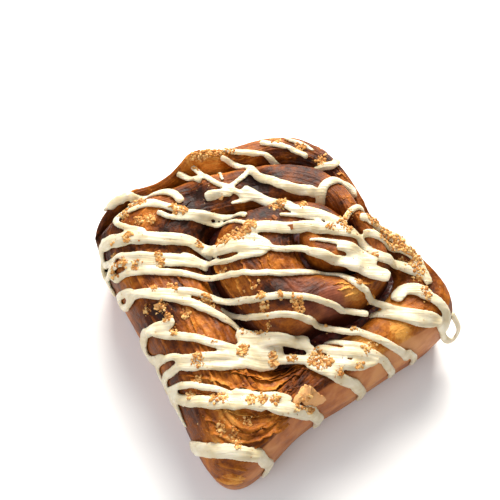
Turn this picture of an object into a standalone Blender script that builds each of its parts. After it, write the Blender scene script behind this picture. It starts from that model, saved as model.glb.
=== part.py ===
"""Square cinnamon roll of laminated dough: one long strip of dough wound into a spiral with a
sheet of cinnamon filling between its turns, baked in a square tin and turned out.

Frame: +Z up, origin at the middle of the base, sides along X and Y. Units: metres.
"""

import math

import bmesh
import bpy
from mathutils import Vector

MM = 0.001

# Plan of the roll, at its widest level: the shape of a square tin, a little out of true
CORNERS = {
    "near": Vector((-50.0 * MM, -49.5 * MM)),
    "right": Vector((52.8 * MM, -47.5 * MM)),
    "left": Vector((-50.0 * MM, 49.5 * MM)),
    "far": Vector((43.5 * MM, 51.0 * MM)),
}
HALF_SIDE = 50.0 * MM
CORNER_POWER = 8.0  # power of the superellipse that rounds the corners
PULLS = (  # how two corners and a side have swelled or shrunk: direction, how wide, move
    (math.radians(228.0), math.radians(16.0), Vector((-2.4 * MM, -7.8 * MM))),
    (math.radians(45.0), math.radians(16.0), Vector((-3.5 * MM, -4.0 * MM))),
    (math.radians(-4.0), math.radians(27.0), Vector((-7.5 * MM, 0.0))),
)
HEART = Vector((16.0 * MM, -3.0 * MM))  # middle of the spiral, off the middle of the square
SIDE_SWELL = 0.008  # how far the sides wave in and out, as a share of their distance

# Heights above the base
WALL_HEIGHTS = {"near": 14.0 * MM, "right": 13.0 * MM, "left": 20.0 * MM, "far": 22.0 * MM}
RIM_HEIGHTS = {"near": 27.0 * MM, "right": 25.0 * MM, "left": 39.0 * MM, "far": 36.0 * MM}
DOME_RISE = 14.0 * MM  # how far the heart stands above the rim
GROOVE_DEPTH = 11.0 * MM  # from the crest of the outer turn down to the filling
HEART_GROOVE_DEPTH = 6.0 * MM

# Winding: how far out the groove between two turns lies, as a share of the way from the heart to
# the side, at each number of turns from where the strip's tail leaves the side
TAIL_ANGLE = math.radians(150.0)
WINDING = (
    (0.00, 1.08),
    (0.05, 0.94),
    (0.13, 0.89),
    (0.22, 0.76),
    (0.31, 0.62),
    (0.42, 0.52),
    (0.54, 0.54),
    (0.64, 0.60),
    (0.74, 0.58),
    (0.84, 0.62),
    (0.96, 0.62),
    (1.05, 0.52),
    (1.15, 0.36),
    (1.30, 0.26),
    (1.45, 0.27),
    (1.58, 0.34),
    (1.70, 0.25),
    (1.85, 0.17),
    (2.10, 0.12),
    (2.50, 0.05),
    (3.00, 0.00),
)
FILLING_END = 1.95  # turns at which the filling stops, inside the heart

# Section of a turn
CREST_SPLIT = 0.5  # where the crest lies across the turn
ARCH_POWER = 2.6  # how flat-topped a turn is
FULL_WIDTH = 9.0 * MM  # a turn narrower than this stands lower

# Side wall below the widest level
BASE_INSET = 1.6 * MM
BASE_EDGE = 1.3 * MM
WALL_LEVELS = (1.0, 0.62, 0.28, 0.08)  # of the wall's height, from the top down

# Filling
FILLING_THICKNESS = 1.6 * MM
POOL_THICKNESS = 4.5 * MM  # where the filling has oozed together in front of the heart
POOL_TURNS, POOL_SPREAD = 0.70, 0.09
FILLING_START = 0.055  # turns at which the filling starts, just inside the side
GAP = 0.3 * MM  # between the filling and the dough on each side of it

# Mesh fineness
STEPS_A_TURN = 60
ROWS_A_TURN = 8


def smooth(t):
    """Eases t from 0 to 1."""
    t = min(1.0, max(0.0, t))
    return t * t * (3.0 - 2.0 * t)


def turn_angle(turns):
    """Direction from the heart after so many turns. The strip winds inwards clockwise."""
    return TAIL_ANGLE - math.tau * turns


def winding_share(turns):
    """How far out the groove lies after so many turns: a smooth curve through WINDING."""
    if turns >= WINDING[-1][0]:
        return WINDING[-1][1]
    after = max(1, next(k for k, (place, _) in enumerate(WINDING) if place > turns))
    slopes = []
    for k in (after - 1, after):
        (t0, s0), (t1, s1) = WINDING[max(0, k - 1)], WINDING[min(len(WINDING) - 1, k + 1)]
        slopes.append((s1 - s0) / (t1 - t0))
    (t0, s0), (t1, s1) = WINDING[after - 1], WINDING[after]
    span = t1 - t0
    t = (turns - t0) / span
    return (
        s0 * (1.0 + 2.0 * t) * (1.0 - t) ** 2
        + s1 * t * t * (3.0 - 2.0 * t)
        + span * (slopes[0] * t * (1.0 - t) ** 2 - slopes[1] * t * t * (1.0 - t))
    )


def blend(corners, u, v):
    """Value there from the values at the four corners, u and v going from -1 to 1 across X and Y."""
    u, v = 0.5 + 0.5 * u, 0.5 + 0.5 * v
    front = corners["near"] * (1.0 - u) + corners["right"] * u
    back = corners["left"] * (1.0 - u) + corners["far"] * u
    return front * (1.0 - v) + back * v


def side_point(angle, inset=0.0):
    """Point of the roll's side in this direction from the middle, moved inwards by the inset."""
    c, s = math.cos(angle), math.sin(angle)
    wave = math.sin(3.0 * angle + 0.6) + 0.6 * math.sin(7.0 * angle)
    reach = (abs(c) ** CORNER_POWER + abs(s) ** CORNER_POWER) ** (-1.0 / CORNER_POWER)
    reach *= 1.0 + SIDE_SWELL * wave - inset / HALF_SIDE
    place = blend(CORNERS, reach * c, reach * s)
    for direction, spread, pull in PULLS:
        away = math.remainder(angle - direction, math.tau) / spread
        place += pull * math.exp(-away * away)
    return place


def middle_of_sides():
    """Middle of the box that just holds the roll's plan, which becomes the origin."""
    points = [side_point(turn_angle(step / STEPS_A_TURN)) for step in range(STEPS_A_TURN)]
    return Vector([(min(axis) + max(axis)) / 2 for axis in zip(*points)])


MIDDLE = middle_of_sides()


def plan(angle, share, inset=0.0):
    """Point in plan: share 0 is the heart, 1 the side. Round near the heart and square at the side."""
    square = smooth(share)
    round_point = HALF_SIDE * Vector((math.cos(angle), math.sin(angle)))
    spoke = round_point * (1.0 - square) + side_point(angle, inset) * square
    return HEART * (1.0 - share * share) + spoke * share - MIDDLE


def level_at(place, heights):
    """Height there, blended between the heights at the four corners."""
    return blend(heights, place.x / HALF_SIDE, place.y / HALF_SIDE)


def crest_height(place, share):
    """Height of the crest of a turn whose middle is there."""
    return level_at(place, RIM_HEIGHTS) + DOME_RISE * (1.0 - share * share) ** 1.5


def groove_height(turns):
    """Height of the groove's bottom after so many turns."""
    share = min(1.0, winding_share(turns))
    place = plan(turn_angle(turns), share)
    top = crest_height(place, share)
    if share >= 1.0:
        return level_at(place, WALL_HEIGHTS)
    depth = HEART_GROOVE_DEPTH + (GROOVE_DEPTH - HEART_GROOVE_DEPTH) * smooth(share / 0.5)
    fade = 1.0 - smooth((turns - FILLING_END + 0.15) / 0.3)
    return top - depth * fade


def turn_sides(turns):
    """Shares of the outer and the inner side of the turn of dough at this point of the winding.

    The first turn's outer side is the side of the roll.
    """
    outer = 1.0 if turns < 1.0 else min(1.0, winding_share(turns - 1.0))
    return outer, min(1.0, winding_share(turns))


def section_point(turns, across):
    """Point on top of the dough: across is 0 at a turn's outer side and 1 at its inner side."""
    angle = turn_angle(turns)
    outer, inner = turn_sides(turns)
    outer_place = plan(angle, outer)
    outer_height = (
        level_at(outer_place, WALL_HEIGHTS) if turns < 1.0 else groove_height(turns - 1.0)
    )
    inner_height = groove_height(turns)
    middle = (outer + inner) / 2
    width = (outer_place - plan(angle, inner)).length
    stand = smooth(width / FULL_WIDTH) if turns < 1.0 else 1.0
    lowest = max(outer_height, inner_height)
    crest = lowest + (crest_height(plan(angle, middle), middle) - lowest) * stand
    side = outer_height if across < CREST_SPLIT else inner_height
    reach = CREST_SPLIT if across < CREST_SPLIT else 1.0 - CREST_SPLIT
    fall = (abs(across - CREST_SPLIT) / reach) ** ARCH_POWER
    share = outer + (inner - outer) * across
    place = plan(angle, share)
    return Vector((place.x, place.y, crest - (crest - side) * fall))


def dough_body():
    """Mesh of the whole roll with its wound top, before the filling's slot is cut out of it."""
    bm = bmesh.new()
    last = 4 * STEPS_A_TURN  # the winding reaches the heart after three turns, and fills it in one more
    heart = bm.verts.new(section_point(3.0, 1.0))
    shared = {}

    def top(step, row):
        """The vertex there. Two neighbouring turns share the bottom of the groove between them."""
        if row == ROWS_A_TURN:
            if step >= 3 * STEPS_A_TURN:
                return heart
            step, row = step + STEPS_A_TURN, 0
        if step >= last:
            return heart
        if step == 0:
            step, row = STEPS_A_TURN, 0
        if (step, row) not in shared:
            across = 0.5 - 0.5 * math.cos(math.pi * row / ROWS_A_TURN)
            shared[step, row] = bm.verts.new(section_point(step / STEPS_A_TURN, across))
        return shared[step, row]

    def face(*corners):
        """Adds a face, less the corners that coincide."""
        corners = list(dict.fromkeys(corners))
        if len(corners) > 2:
            bm.faces.new(corners)

    for step in range(last):
        for row in range(ROWS_A_TURN):
            face(
                top(step, row),
                top(step, row + 1),
                top(step + 1, row + 1),
                top(step + 1, row),
            )

    def wall_ring(level):
        """Ring of vertices on the side wall, at this share of its height."""
        ring = []
        for step in range(STEPS_A_TURN):
            angle = turn_angle(step / STEPS_A_TURN)
            height = level * level_at(plan(angle, 1.0), WALL_HEIGHTS)
            inset = BASE_INSET * (1.0 - level)
            place = plan(angle, 1.0, inset)
            ring.append(bm.verts.new((place.x, place.y, height)))
        return ring

    rings = [[top(step, 0) for step in range(STEPS_A_TURN)]]
    rings += [wall_ring(level) for level in WALL_LEVELS[1:]]
    base = []
    for step in range(STEPS_A_TURN):
        place = plan(turn_angle(step / STEPS_A_TURN), 1.0, BASE_INSET + BASE_EDGE)
        base.append(bm.verts.new((place.x, place.y, 0.0)))
    rings.append(base)
    for upper, lower in zip(rings, rings[1:]):
        for step in range(STEPS_A_TURN):
            after = (step + 1) % STEPS_A_TURN
            face(upper[step], upper[after], lower[after], lower[step])
    bm.faces.new(base)
    bmesh.ops.recalc_face_normals(bm, faces=bm.faces)
    return bm


def filling_thickness(turns):
    """Thickness of the filling after so many turns."""
    away = (turns - POOL_TURNS) / POOL_SPREAD
    return FILLING_THICKNESS + (POOL_THICKNESS - FILLING_THICKNESS) * math.exp(-away * away)


def ribbon(clearance, first, ends, below, above):
    """Mesh of a sheet that follows the groove, thicker than the filling by the clearance on each side.

    It runs from the first number of turns to the last, and reaches below and above the groove.
    """
    bm = bmesh.new()
    steps = range(round(first * STEPS_A_TURN), round(ends * STEPS_A_TURN) + 1)
    rows = []
    for step in steps:
        turns = step / STEPS_A_TURN
        angle = turn_angle(turns)
        share = winding_share(turns)
        top = groove_height(turns) + above
        before = plan(turn_angle(turns - 0.01), winding_share(max(0.0, turns - 0.01)))
        ahead = plan(turn_angle(turns + 0.01), winding_share(turns + 0.01))
        along = (ahead - before).normalized()
        across = Vector((-along.y, along.x)) * (filling_thickness(turns) / 2 + clearance)
        place = plan(angle, share)
        left, right = place - across, place + across
        rows.append(
            [
                bm.verts.new((left.x, left.y, below)),
                bm.verts.new((right.x, right.y, below)),
                bm.verts.new((right.x, right.y, top)),
                bm.verts.new((left.x, left.y, top)),
            ]
        )
    for one, two in zip(rows, rows[1:]):
        for k in range(4):
            m = (k + 1) % 4
            bm.faces.new((one[k], one[m], two[m], two[k]))
    bm.faces.new(rows[0])
    bm.faces.new(rows[-1])
    bmesh.ops.recalc_face_normals(bm, faces=bm.faces)
    return bm


def add_object(name, bm, collection, material=None):
    """Turns a bmesh into an object of this collection."""
    mesh = bpy.data.meshes.new(name)
    bm.to_mesh(mesh)
    bm.free()
    piece = bpy.data.objects.new(name, mesh)
    collection.objects.link(piece)
    if material:
        mesh.materials.append(material)
    return piece


def make_material(name, colour, roughness):
    """Plain material of one colour."""
    material = bpy.data.materials.new(name)
    material.use_nodes = True
    shader = material.node_tree.nodes["Principled BSDF"]
    shader.inputs["Base Color"].default_value = (*colour, 1.0)
    shader.inputs["Roughness"].default_value = roughness
    return material


def new_collection(name):
    """Adds a collection to the scene."""
    collection = bpy.data.collections.new(name)
    bpy.context.scene.collection.children.link(collection)
    return collection


def build():
    """Builds the roll: dough and filling."""
    for thing in list(bpy.data.objects):
        bpy.data.objects.remove(thing, do_unlink=True)
    roll = new_collection("cinnamon_roll")
    cutters = new_collection("cutters")

    crust = make_material("baked_dough", (0.36, 0.14, 0.045), 0.45)
    spice = make_material("cinnamon_filling", (0.06, 0.02, 0.015), 0.35)

    dough = add_object("dough_coil", dough_body(), roll, crust)
    slot = ribbon(GAP, 0.0, FILLING_END + 0.03, -3.0 * MM, 30.0 * MM)
    cutter = add_object("filling_slot", slot, cutters)
    cutter.hide_render = True
    cutter.display_type = "WIRE"
    cut = dough.modifiers.new("filling_slot", "BOOLEAN")
    cut.operation = "DIFFERENCE"
    cut.object = cutter

    sheet = ribbon(0.0, FILLING_START, FILLING_END, 0.0, 1.0 * MM)
    add_object("cinnamon_filling", sheet, roll, spice)


build()
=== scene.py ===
"""Looks of a square laminated cinnamon roll.

A strip of laminated dough wound inwards round a sheet of cinnamon filling, baked in a square mould,
piped with zigzags of cream icing and scattered with biscuit crumbs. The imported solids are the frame;
the pieces made here replace them at the same size. Sizes are in metres, or in millimetres where a
name ends in _mm or its class says so.
"""

import enum
import itertools
import logging
import math
from dataclasses import dataclass, field

import bmesh
import bpy
import numpy as np
from mathutils import Euler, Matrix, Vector
from mathutils.bvhtree import BVHTree


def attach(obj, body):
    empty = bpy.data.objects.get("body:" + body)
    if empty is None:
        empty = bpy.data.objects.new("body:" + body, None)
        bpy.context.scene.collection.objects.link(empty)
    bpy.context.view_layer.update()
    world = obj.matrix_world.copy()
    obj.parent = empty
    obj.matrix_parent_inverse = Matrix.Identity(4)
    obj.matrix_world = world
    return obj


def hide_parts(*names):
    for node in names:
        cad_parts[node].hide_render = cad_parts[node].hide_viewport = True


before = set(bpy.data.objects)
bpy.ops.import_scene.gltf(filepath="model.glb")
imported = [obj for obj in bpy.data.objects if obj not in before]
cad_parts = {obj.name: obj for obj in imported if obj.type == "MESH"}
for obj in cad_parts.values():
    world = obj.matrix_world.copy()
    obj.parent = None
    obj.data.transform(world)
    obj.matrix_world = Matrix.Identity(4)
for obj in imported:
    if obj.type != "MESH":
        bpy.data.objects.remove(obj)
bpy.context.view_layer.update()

Piece = bpy.types.Object
Tree = bpy.types.NodeTree
Finish = bpy.types.Material
Array = np.ndarray
Grids = dict[str, np.ndarray]  # arrays of one shape, such as a surface's points and attributes
Faces = list[tuple[int, ...]]  # vertex numbers of each face
Spots = tuple[tuple[float, ...], ...]  # round patches: place, radius and strength

LOG = logging.getLogger("cinnamon_roll")
MM = 0.001
ROOT = "root"
CRUST_READS = ("layers", "flake", "wall", "skin", "depth", "bake")  # what the crust's finish reads


def linear(colour: str) -> tuple[float, float, float, float]:
    """Turn an sRGB hex colour into linear light.

    Args:
        colour: Six hex digits, such as "a0682e".

    Returns:
        Red, green, blue and an alpha of 1.
    """
    parts = [int(colour[k : k + 2], 16) / 255.0 for k in (0, 2, 4)]
    light = [c / 12.92 if c <= 0.04045 else ((c + 0.055) / 1.055) ** 2.4 for c in parts]
    return (*light, 1.0)


def ease(value: Array | float) -> Array | float:
    """Smooth a value, clamped to 0..1, so that it is flat at both ends."""
    value = np.clip(value, 0.0, 1.0)
    return value * value * (3.0 - 2.0 * value)


def hump(value: Array | float, middle: float, spread: float) -> Array | float:
    """Bell curve that is 1 at its middle and has fallen to about a third at the spread."""
    return np.exp(-(((value - middle) / spread) ** 2))


class Lattice:
    """Smooth, repeatable noise from -1 to 1, read at any points of space."""

    def __init__(self, seed: int, size: int = 48) -> None:
        """Fill the lattice from a seed; it repeats after so many cells."""
        self.size = size
        self.values = np.random.default_rng(seed).uniform(-1.0, 1.0, (size,) * 3)

    def __call__(self, points: Array) -> Array:
        """Read the noise.

        Args:
            points: Array of shape (..., 3), in lattice cells.

        Returns:
            Array of shape (...).
        """
        cell = np.floor(points).astype(int)
        part = points - cell
        part = part * part * (3.0 - 2.0 * part)
        total = np.zeros(points.shape[:-1])
        for corner in itertools.product((0, 1), repeat=3):
            weight = np.prod(np.where(corner, part, 1.0 - part), axis=-1)
            index = np.moveaxis((cell + corner) % self.size, -1, 0)
            total += weight * self.values[tuple(index)]
        return total

    def at(self, x: Array, y: Array, z: Array | float = 0.0) -> Array:
        """Read the noise at separate coordinates, in lattice cells; z picks a layer of it."""
        return self(np.stack(np.broadcast_arrays(x, y, z), axis=-1).astype(float))


@dataclass
class Winding:
    """The roll's form: a strip wound inwards clockwise inside a rounded square.

    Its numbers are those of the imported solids, in millimetres.
    """

    corners: dict[str, tuple[float, float]] = field(
        default_factory=lambda: {
            "near": (-50.0, -49.5), "right": (52.8, -47.5), "left": (-50.0, 49.5), "far": (43.5, 51.0)
        }
    )
    half_side: float = 50.0
    corner_power: float = 8.0
    # Corners drawn in: direction and spread in degrees, and how far in millimetres
    pulls: tuple[tuple[float, float, tuple[float, float]], ...] = (
        (228.0, 16.0, (-2.4, -7.8)), (45.0, 16.0, (-3.5, -4.0)), (-4.0, 27.0, (-7.5, 0.0))
    )
    heart: tuple[float, float] = (16.0, -3.0)
    swell: float = 0.008
    wall: dict[str, float] = field(
        default_factory=lambda: {"near": 14.0, "right": 13.0, "left": 20.0, "far": 22.0}
    )
    rim: dict[str, float] = field(
        default_factory=lambda: {"near": 27.0, "right": 25.0, "left": 39.0, "far": 36.0}
    )
    dome_rise: float = 14.0
    groove_depth: float = 11.0
    heart_groove_depth: float = 6.0
    tail_angle: float = math.radians(150.0)
    # Where the groove lies: turns from the tail, and how far out
    course: tuple[tuple[float, float], ...] = (
        (0.00, 1.08), (0.05, 0.94), (0.13, 0.89), (0.22, 0.76), (0.31, 0.62), (0.42, 0.52), (0.54, 0.54),
        (0.64, 0.60), (0.74, 0.58), (0.84, 0.62), (0.96, 0.62), (1.05, 0.52), (1.15, 0.36), (1.30, 0.26),
        (1.45, 0.27), (1.58, 0.34), (1.70, 0.25), (1.85, 0.17), (2.10, 0.12), (2.50, 0.05), (3.00, 0.00),
    )
    filling_end: float = 1.95  # turns at which the filling has thinned out
    sheet: float = 1.6  # thickness of the filling
    pool: float = 4.5  # its thickness where it has oozed together
    pool_turns: tuple[float, float] = (0.70, 0.09)  # where that is, and how far it spreads

    def __post_init__(self) -> None:
        """Find the middle of the plan, which is the frame's origin."""
        self.middle = np.zeros(2)
        points = self.side(self.angle(np.arange(60) / 60.0))
        self.middle = (points.min(axis=0) + points.max(axis=0)) / 2.0

    def angle(self, turns: Array) -> Array:
        """Direction from the heart after so many turns, in radians."""
        return self.tail_angle - math.tau * turns

    def share(self, turns: Array) -> Array:
        """How far out the groove lies.

        Args:
            turns: Turns from the tail; below 0 counts as the side.

        Returns:
            0 at the heart and 1 at the side or beyond.
        """
        knots, values = np.array(self.course).T
        slopes = np.empty_like(values)
        slopes[1:-1] = (values[2:] - values[:-2]) / (knots[2:] - knots[:-2])
        slopes[0] = (values[1] - values[0]) / (knots[1] - knots[0])
        slopes[-1] = (values[-1] - values[-2]) / (knots[-1] - knots[-2])
        inside = np.clip(turns, knots[0], knots[-1] - 1e-9)
        k = np.clip(np.searchsorted(knots, inside, side="right") - 1, 0, len(knots) - 2)
        span = knots[k + 1] - knots[k]
        t = (inside - knots[k]) / span
        curve = (
            values[k] * (1.0 + 2.0 * t) * (1.0 - t) ** 2
            + values[k + 1] * t * t * (3.0 - 2.0 * t)
            + span * (slopes[k] * t * (1.0 - t) ** 2 - slopes[k + 1] * t * t * (1.0 - t))
        )
        curve = np.where(turns >= knots[-1], 0.0, curve)
        return np.where(turns < 0.0, 1.0, np.clip(curve, 0.0, 1.0))

    @staticmethod
    def blend(corners: Grids, u: Array, v: Array) -> Array:
        """Blend four corner values.

        Args:
            corners: Value at near, right, left and far.
            u: -1 to 1 along X.
            v: -1 to 1 along Y.

        Returns:
            The value there.
        """
        u, v = 0.5 + 0.5 * u, 0.5 + 0.5 * v
        front = corners["near"] * (1.0 - u) + corners["right"] * u
        back = corners["left"] * (1.0 - u) + corners["far"] * u
        return front * (1.0 - v) + back * v

    def side(self, angle: Array, inset: Array | float = 0.0) -> Array:
        """Point of the roll's side.

        Args:
            angle: Direction from the middle.
            inset: How far inwards of the widest level, in millimetres.

        Returns:
            Array of shape (..., 2) in millimetres.
        """
        c, s = np.cos(angle), np.sin(angle)
        wave = np.sin(3.0 * angle + 0.6) + 0.6 * np.sin(7.0 * angle)
        power = self.corner_power
        reach = (np.abs(c) ** power + np.abs(s) ** power) ** (-1.0 / power)
        reach = reach * (1.0 + self.swell * wave - inset / self.half_side)
        axes = [
            self.blend({k: xy[i] for k, xy in self.corners.items()}, reach * c, reach * s) for i in (0, 1)
        ]
        place = np.stack(axes, axis=-1)
        for direction, spread, pull in self.pulls:
            away = (np.degrees(angle) - direction + 180.0) % 360.0 - 180.0
            place = place + hump(away, 0.0, spread)[..., None] * np.array(pull)
        return place - self.middle

    def plan(self, angle: Array, share: Array, inset: Array | float = 0.0) -> Array:
        """Point in plan, round near the heart and square at the side.

        Args:
            angle: Direction from the heart.
            share: 0 at the heart and 1 at the side.
            inset: How far inwards of the widest level, in millimetres.

        Returns:
            Array of shape (..., 2) in millimetres.
        """
        share = np.asarray(share)[..., None]
        square = ease(share)
        circle = self.half_side * np.stack([np.cos(angle), np.sin(angle)], axis=-1)
        edge = self.side(angle, inset) + self.middle
        spoke = circle * (1.0 - square) + edge * square
        return np.array(self.heart) * (1.0 - share * share) + spoke * share - self.middle

    def level(self, place: Array, heights: dict[str, float]) -> Array:
        """Height at points in plan, blended between the corners' heights, in millimetres."""
        scaled = place / self.half_side
        return self.blend(heights, scaled[..., 0], scaled[..., 1])

    def crest(self, place: Array, share: Array) -> Array:
        """Height of a turn's crest at a point in plan of this share."""
        return self.level(place, self.rim) + self.dome_rise * (1.0 - share * share) ** 1.5

    def groove(self, turns: Array) -> Array:
        """Height of the groove's bottom.

        Args:
            turns: Turns from the tail.

        Returns:
            The height in millimetres.
        """
        share = self.share(turns)
        place = self.plan(self.angle(turns), share)
        depth = self.heart_groove_depth
        depth = depth + (self.groove_depth - depth) * ease(share / 0.5)
        depth = depth * (1.0 - ease((turns - self.filling_end + 0.15) / 0.3))
        inner = self.crest(place, share) - depth
        return np.where(share >= 1.0, self.level(place, self.wall), inner)

    def gap(self, turns: Array) -> Array:
        """Half the width of the filling between two turns, in millimetres."""
        middle, spread = self.pool_turns
        width = self.sheet + (self.pool - self.sheet) * hump(turns, middle, spread)
        return width / 2.0 * (1.0 - ease((turns - self.filling_end + 0.1) / 0.3))


def add_object(name: str, data: bpy.types.ID) -> Piece:
    """Add an object with its mesh, camera or light to the scene."""
    thing = bpy.data.objects.new(name, data)
    bpy.context.scene.collection.objects.link(thing)
    return thing


def make_mesh(name: str, points_mm: Array, faces: Faces, smooth: bool = True) -> Piece:
    """Make an object from points and faces, as they are.

    Args:
        name: Name of the object and its mesh.
        points_mm: Array (n, 3) in millimetres.
        faces: Corner numbers of each face.
        smooth: Whether faces are shaded smooth.

    Returns:
        The object, linked to the scene.
    """
    mesh = bpy.data.meshes.new(name)
    mesh.from_pydata((points_mm * MM).tolist(), [], faces)
    mesh.update()
    mesh.polygons.foreach_set("use_smooth", [smooth] * len(mesh.polygons))
    return add_object(name, mesh)


def tube_faces(rings: Array) -> Faces:
    """Faces of a closed tube.

    Args:
        rings: Array (rings, points of each) of vertex numbers.

    Returns:
        The faces between the rings, then one at the first ring and one at the last.
    """
    after = np.roll(rings, -1, axis=1)
    quads = np.stack([rings[:-1], after[:-1], after[1:], rings[1:]], axis=-1).reshape(-1, 4)
    return [*map(tuple, quads.tolist()), tuple(rings[0, ::-1].tolist()), tuple(rings[-1].tolist())]


def set_attribute(mesh: bpy.types.Mesh, name: str, values: Array) -> None:
    """Store one number for each vertex, for materials and scatters to read."""
    layer = mesh.attributes.new(name, "FLOAT", "POINT")
    layer.data.foreach_set("value", np.ascontiguousarray(values, dtype=np.float32))


def set_strip(mesh: bpy.types.Mesh, strip_mm: Array) -> None:
    """Store each vertex's place on the strip of dough, as the UV map "strip".

    Args:
        mesh: The mesh.
        strip_mm: Array (n, 2), along and across the strip in millimetres.
    """
    corner = np.empty(len(mesh.loops), dtype=np.int32)
    mesh.loops.foreach_get("vertex_index", corner)
    layer = mesh.uv_layers.new(name="strip")
    places = np.ascontiguousarray(strip_mm[corner] * MM, dtype=np.float32)
    layer.data.foreach_set("uv", places.ravel())


def crust_piece(name: str, stretches: list[Grids], faces: Faces) -> Piece:
    """Make a piece of crust from its stretches.

    Args:
        name: Name of the piece.
        stretches: The points of each stretch, their u and v on the strip, and what the crust reads.
        faces: Corner numbers of each face, counted through all the stretches.

    Returns:
        The object, not yet dressed.
    """
    piece = make_mesh(name, np.concatenate([s["points"].reshape(-1, 3) for s in stretches]), faces)
    values = {k: np.concatenate([s[k].ravel() for s in stretches]) for k in ("u", "v", *CRUST_READS)}
    set_strip(piece.data, np.column_stack([values["u"], values["v"]]))
    for key in CRUST_READS:
        set_attribute(piece.data, key, values[key])
    return piece


def face_outwards(piece: Piece) -> None:
    """Turn all the faces of a piece outwards."""
    bm = bmesh.new()
    bm.from_mesh(piece.data)
    bmesh.ops.recalc_face_normals(bm, faces=bm.faces)
    bm.to_mesh(piece.data)
    bm.free()


def freeze(piece: Piece) -> None:
    """Apply the live modifiers of a piece by giving it its evaluated mesh.

    Args:
        piece: The object; its modifiers are removed.
    """
    graph = bpy.context.evaluated_depsgraph_get()
    mesh = bpy.data.meshes.new_from_object(
        piece.evaluated_get(graph), preserve_all_data_layers=True, depsgraph=graph
    )
    mesh.name = piece.data.name
    piece.modifiers.clear()
    piece.data = mesh


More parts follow.
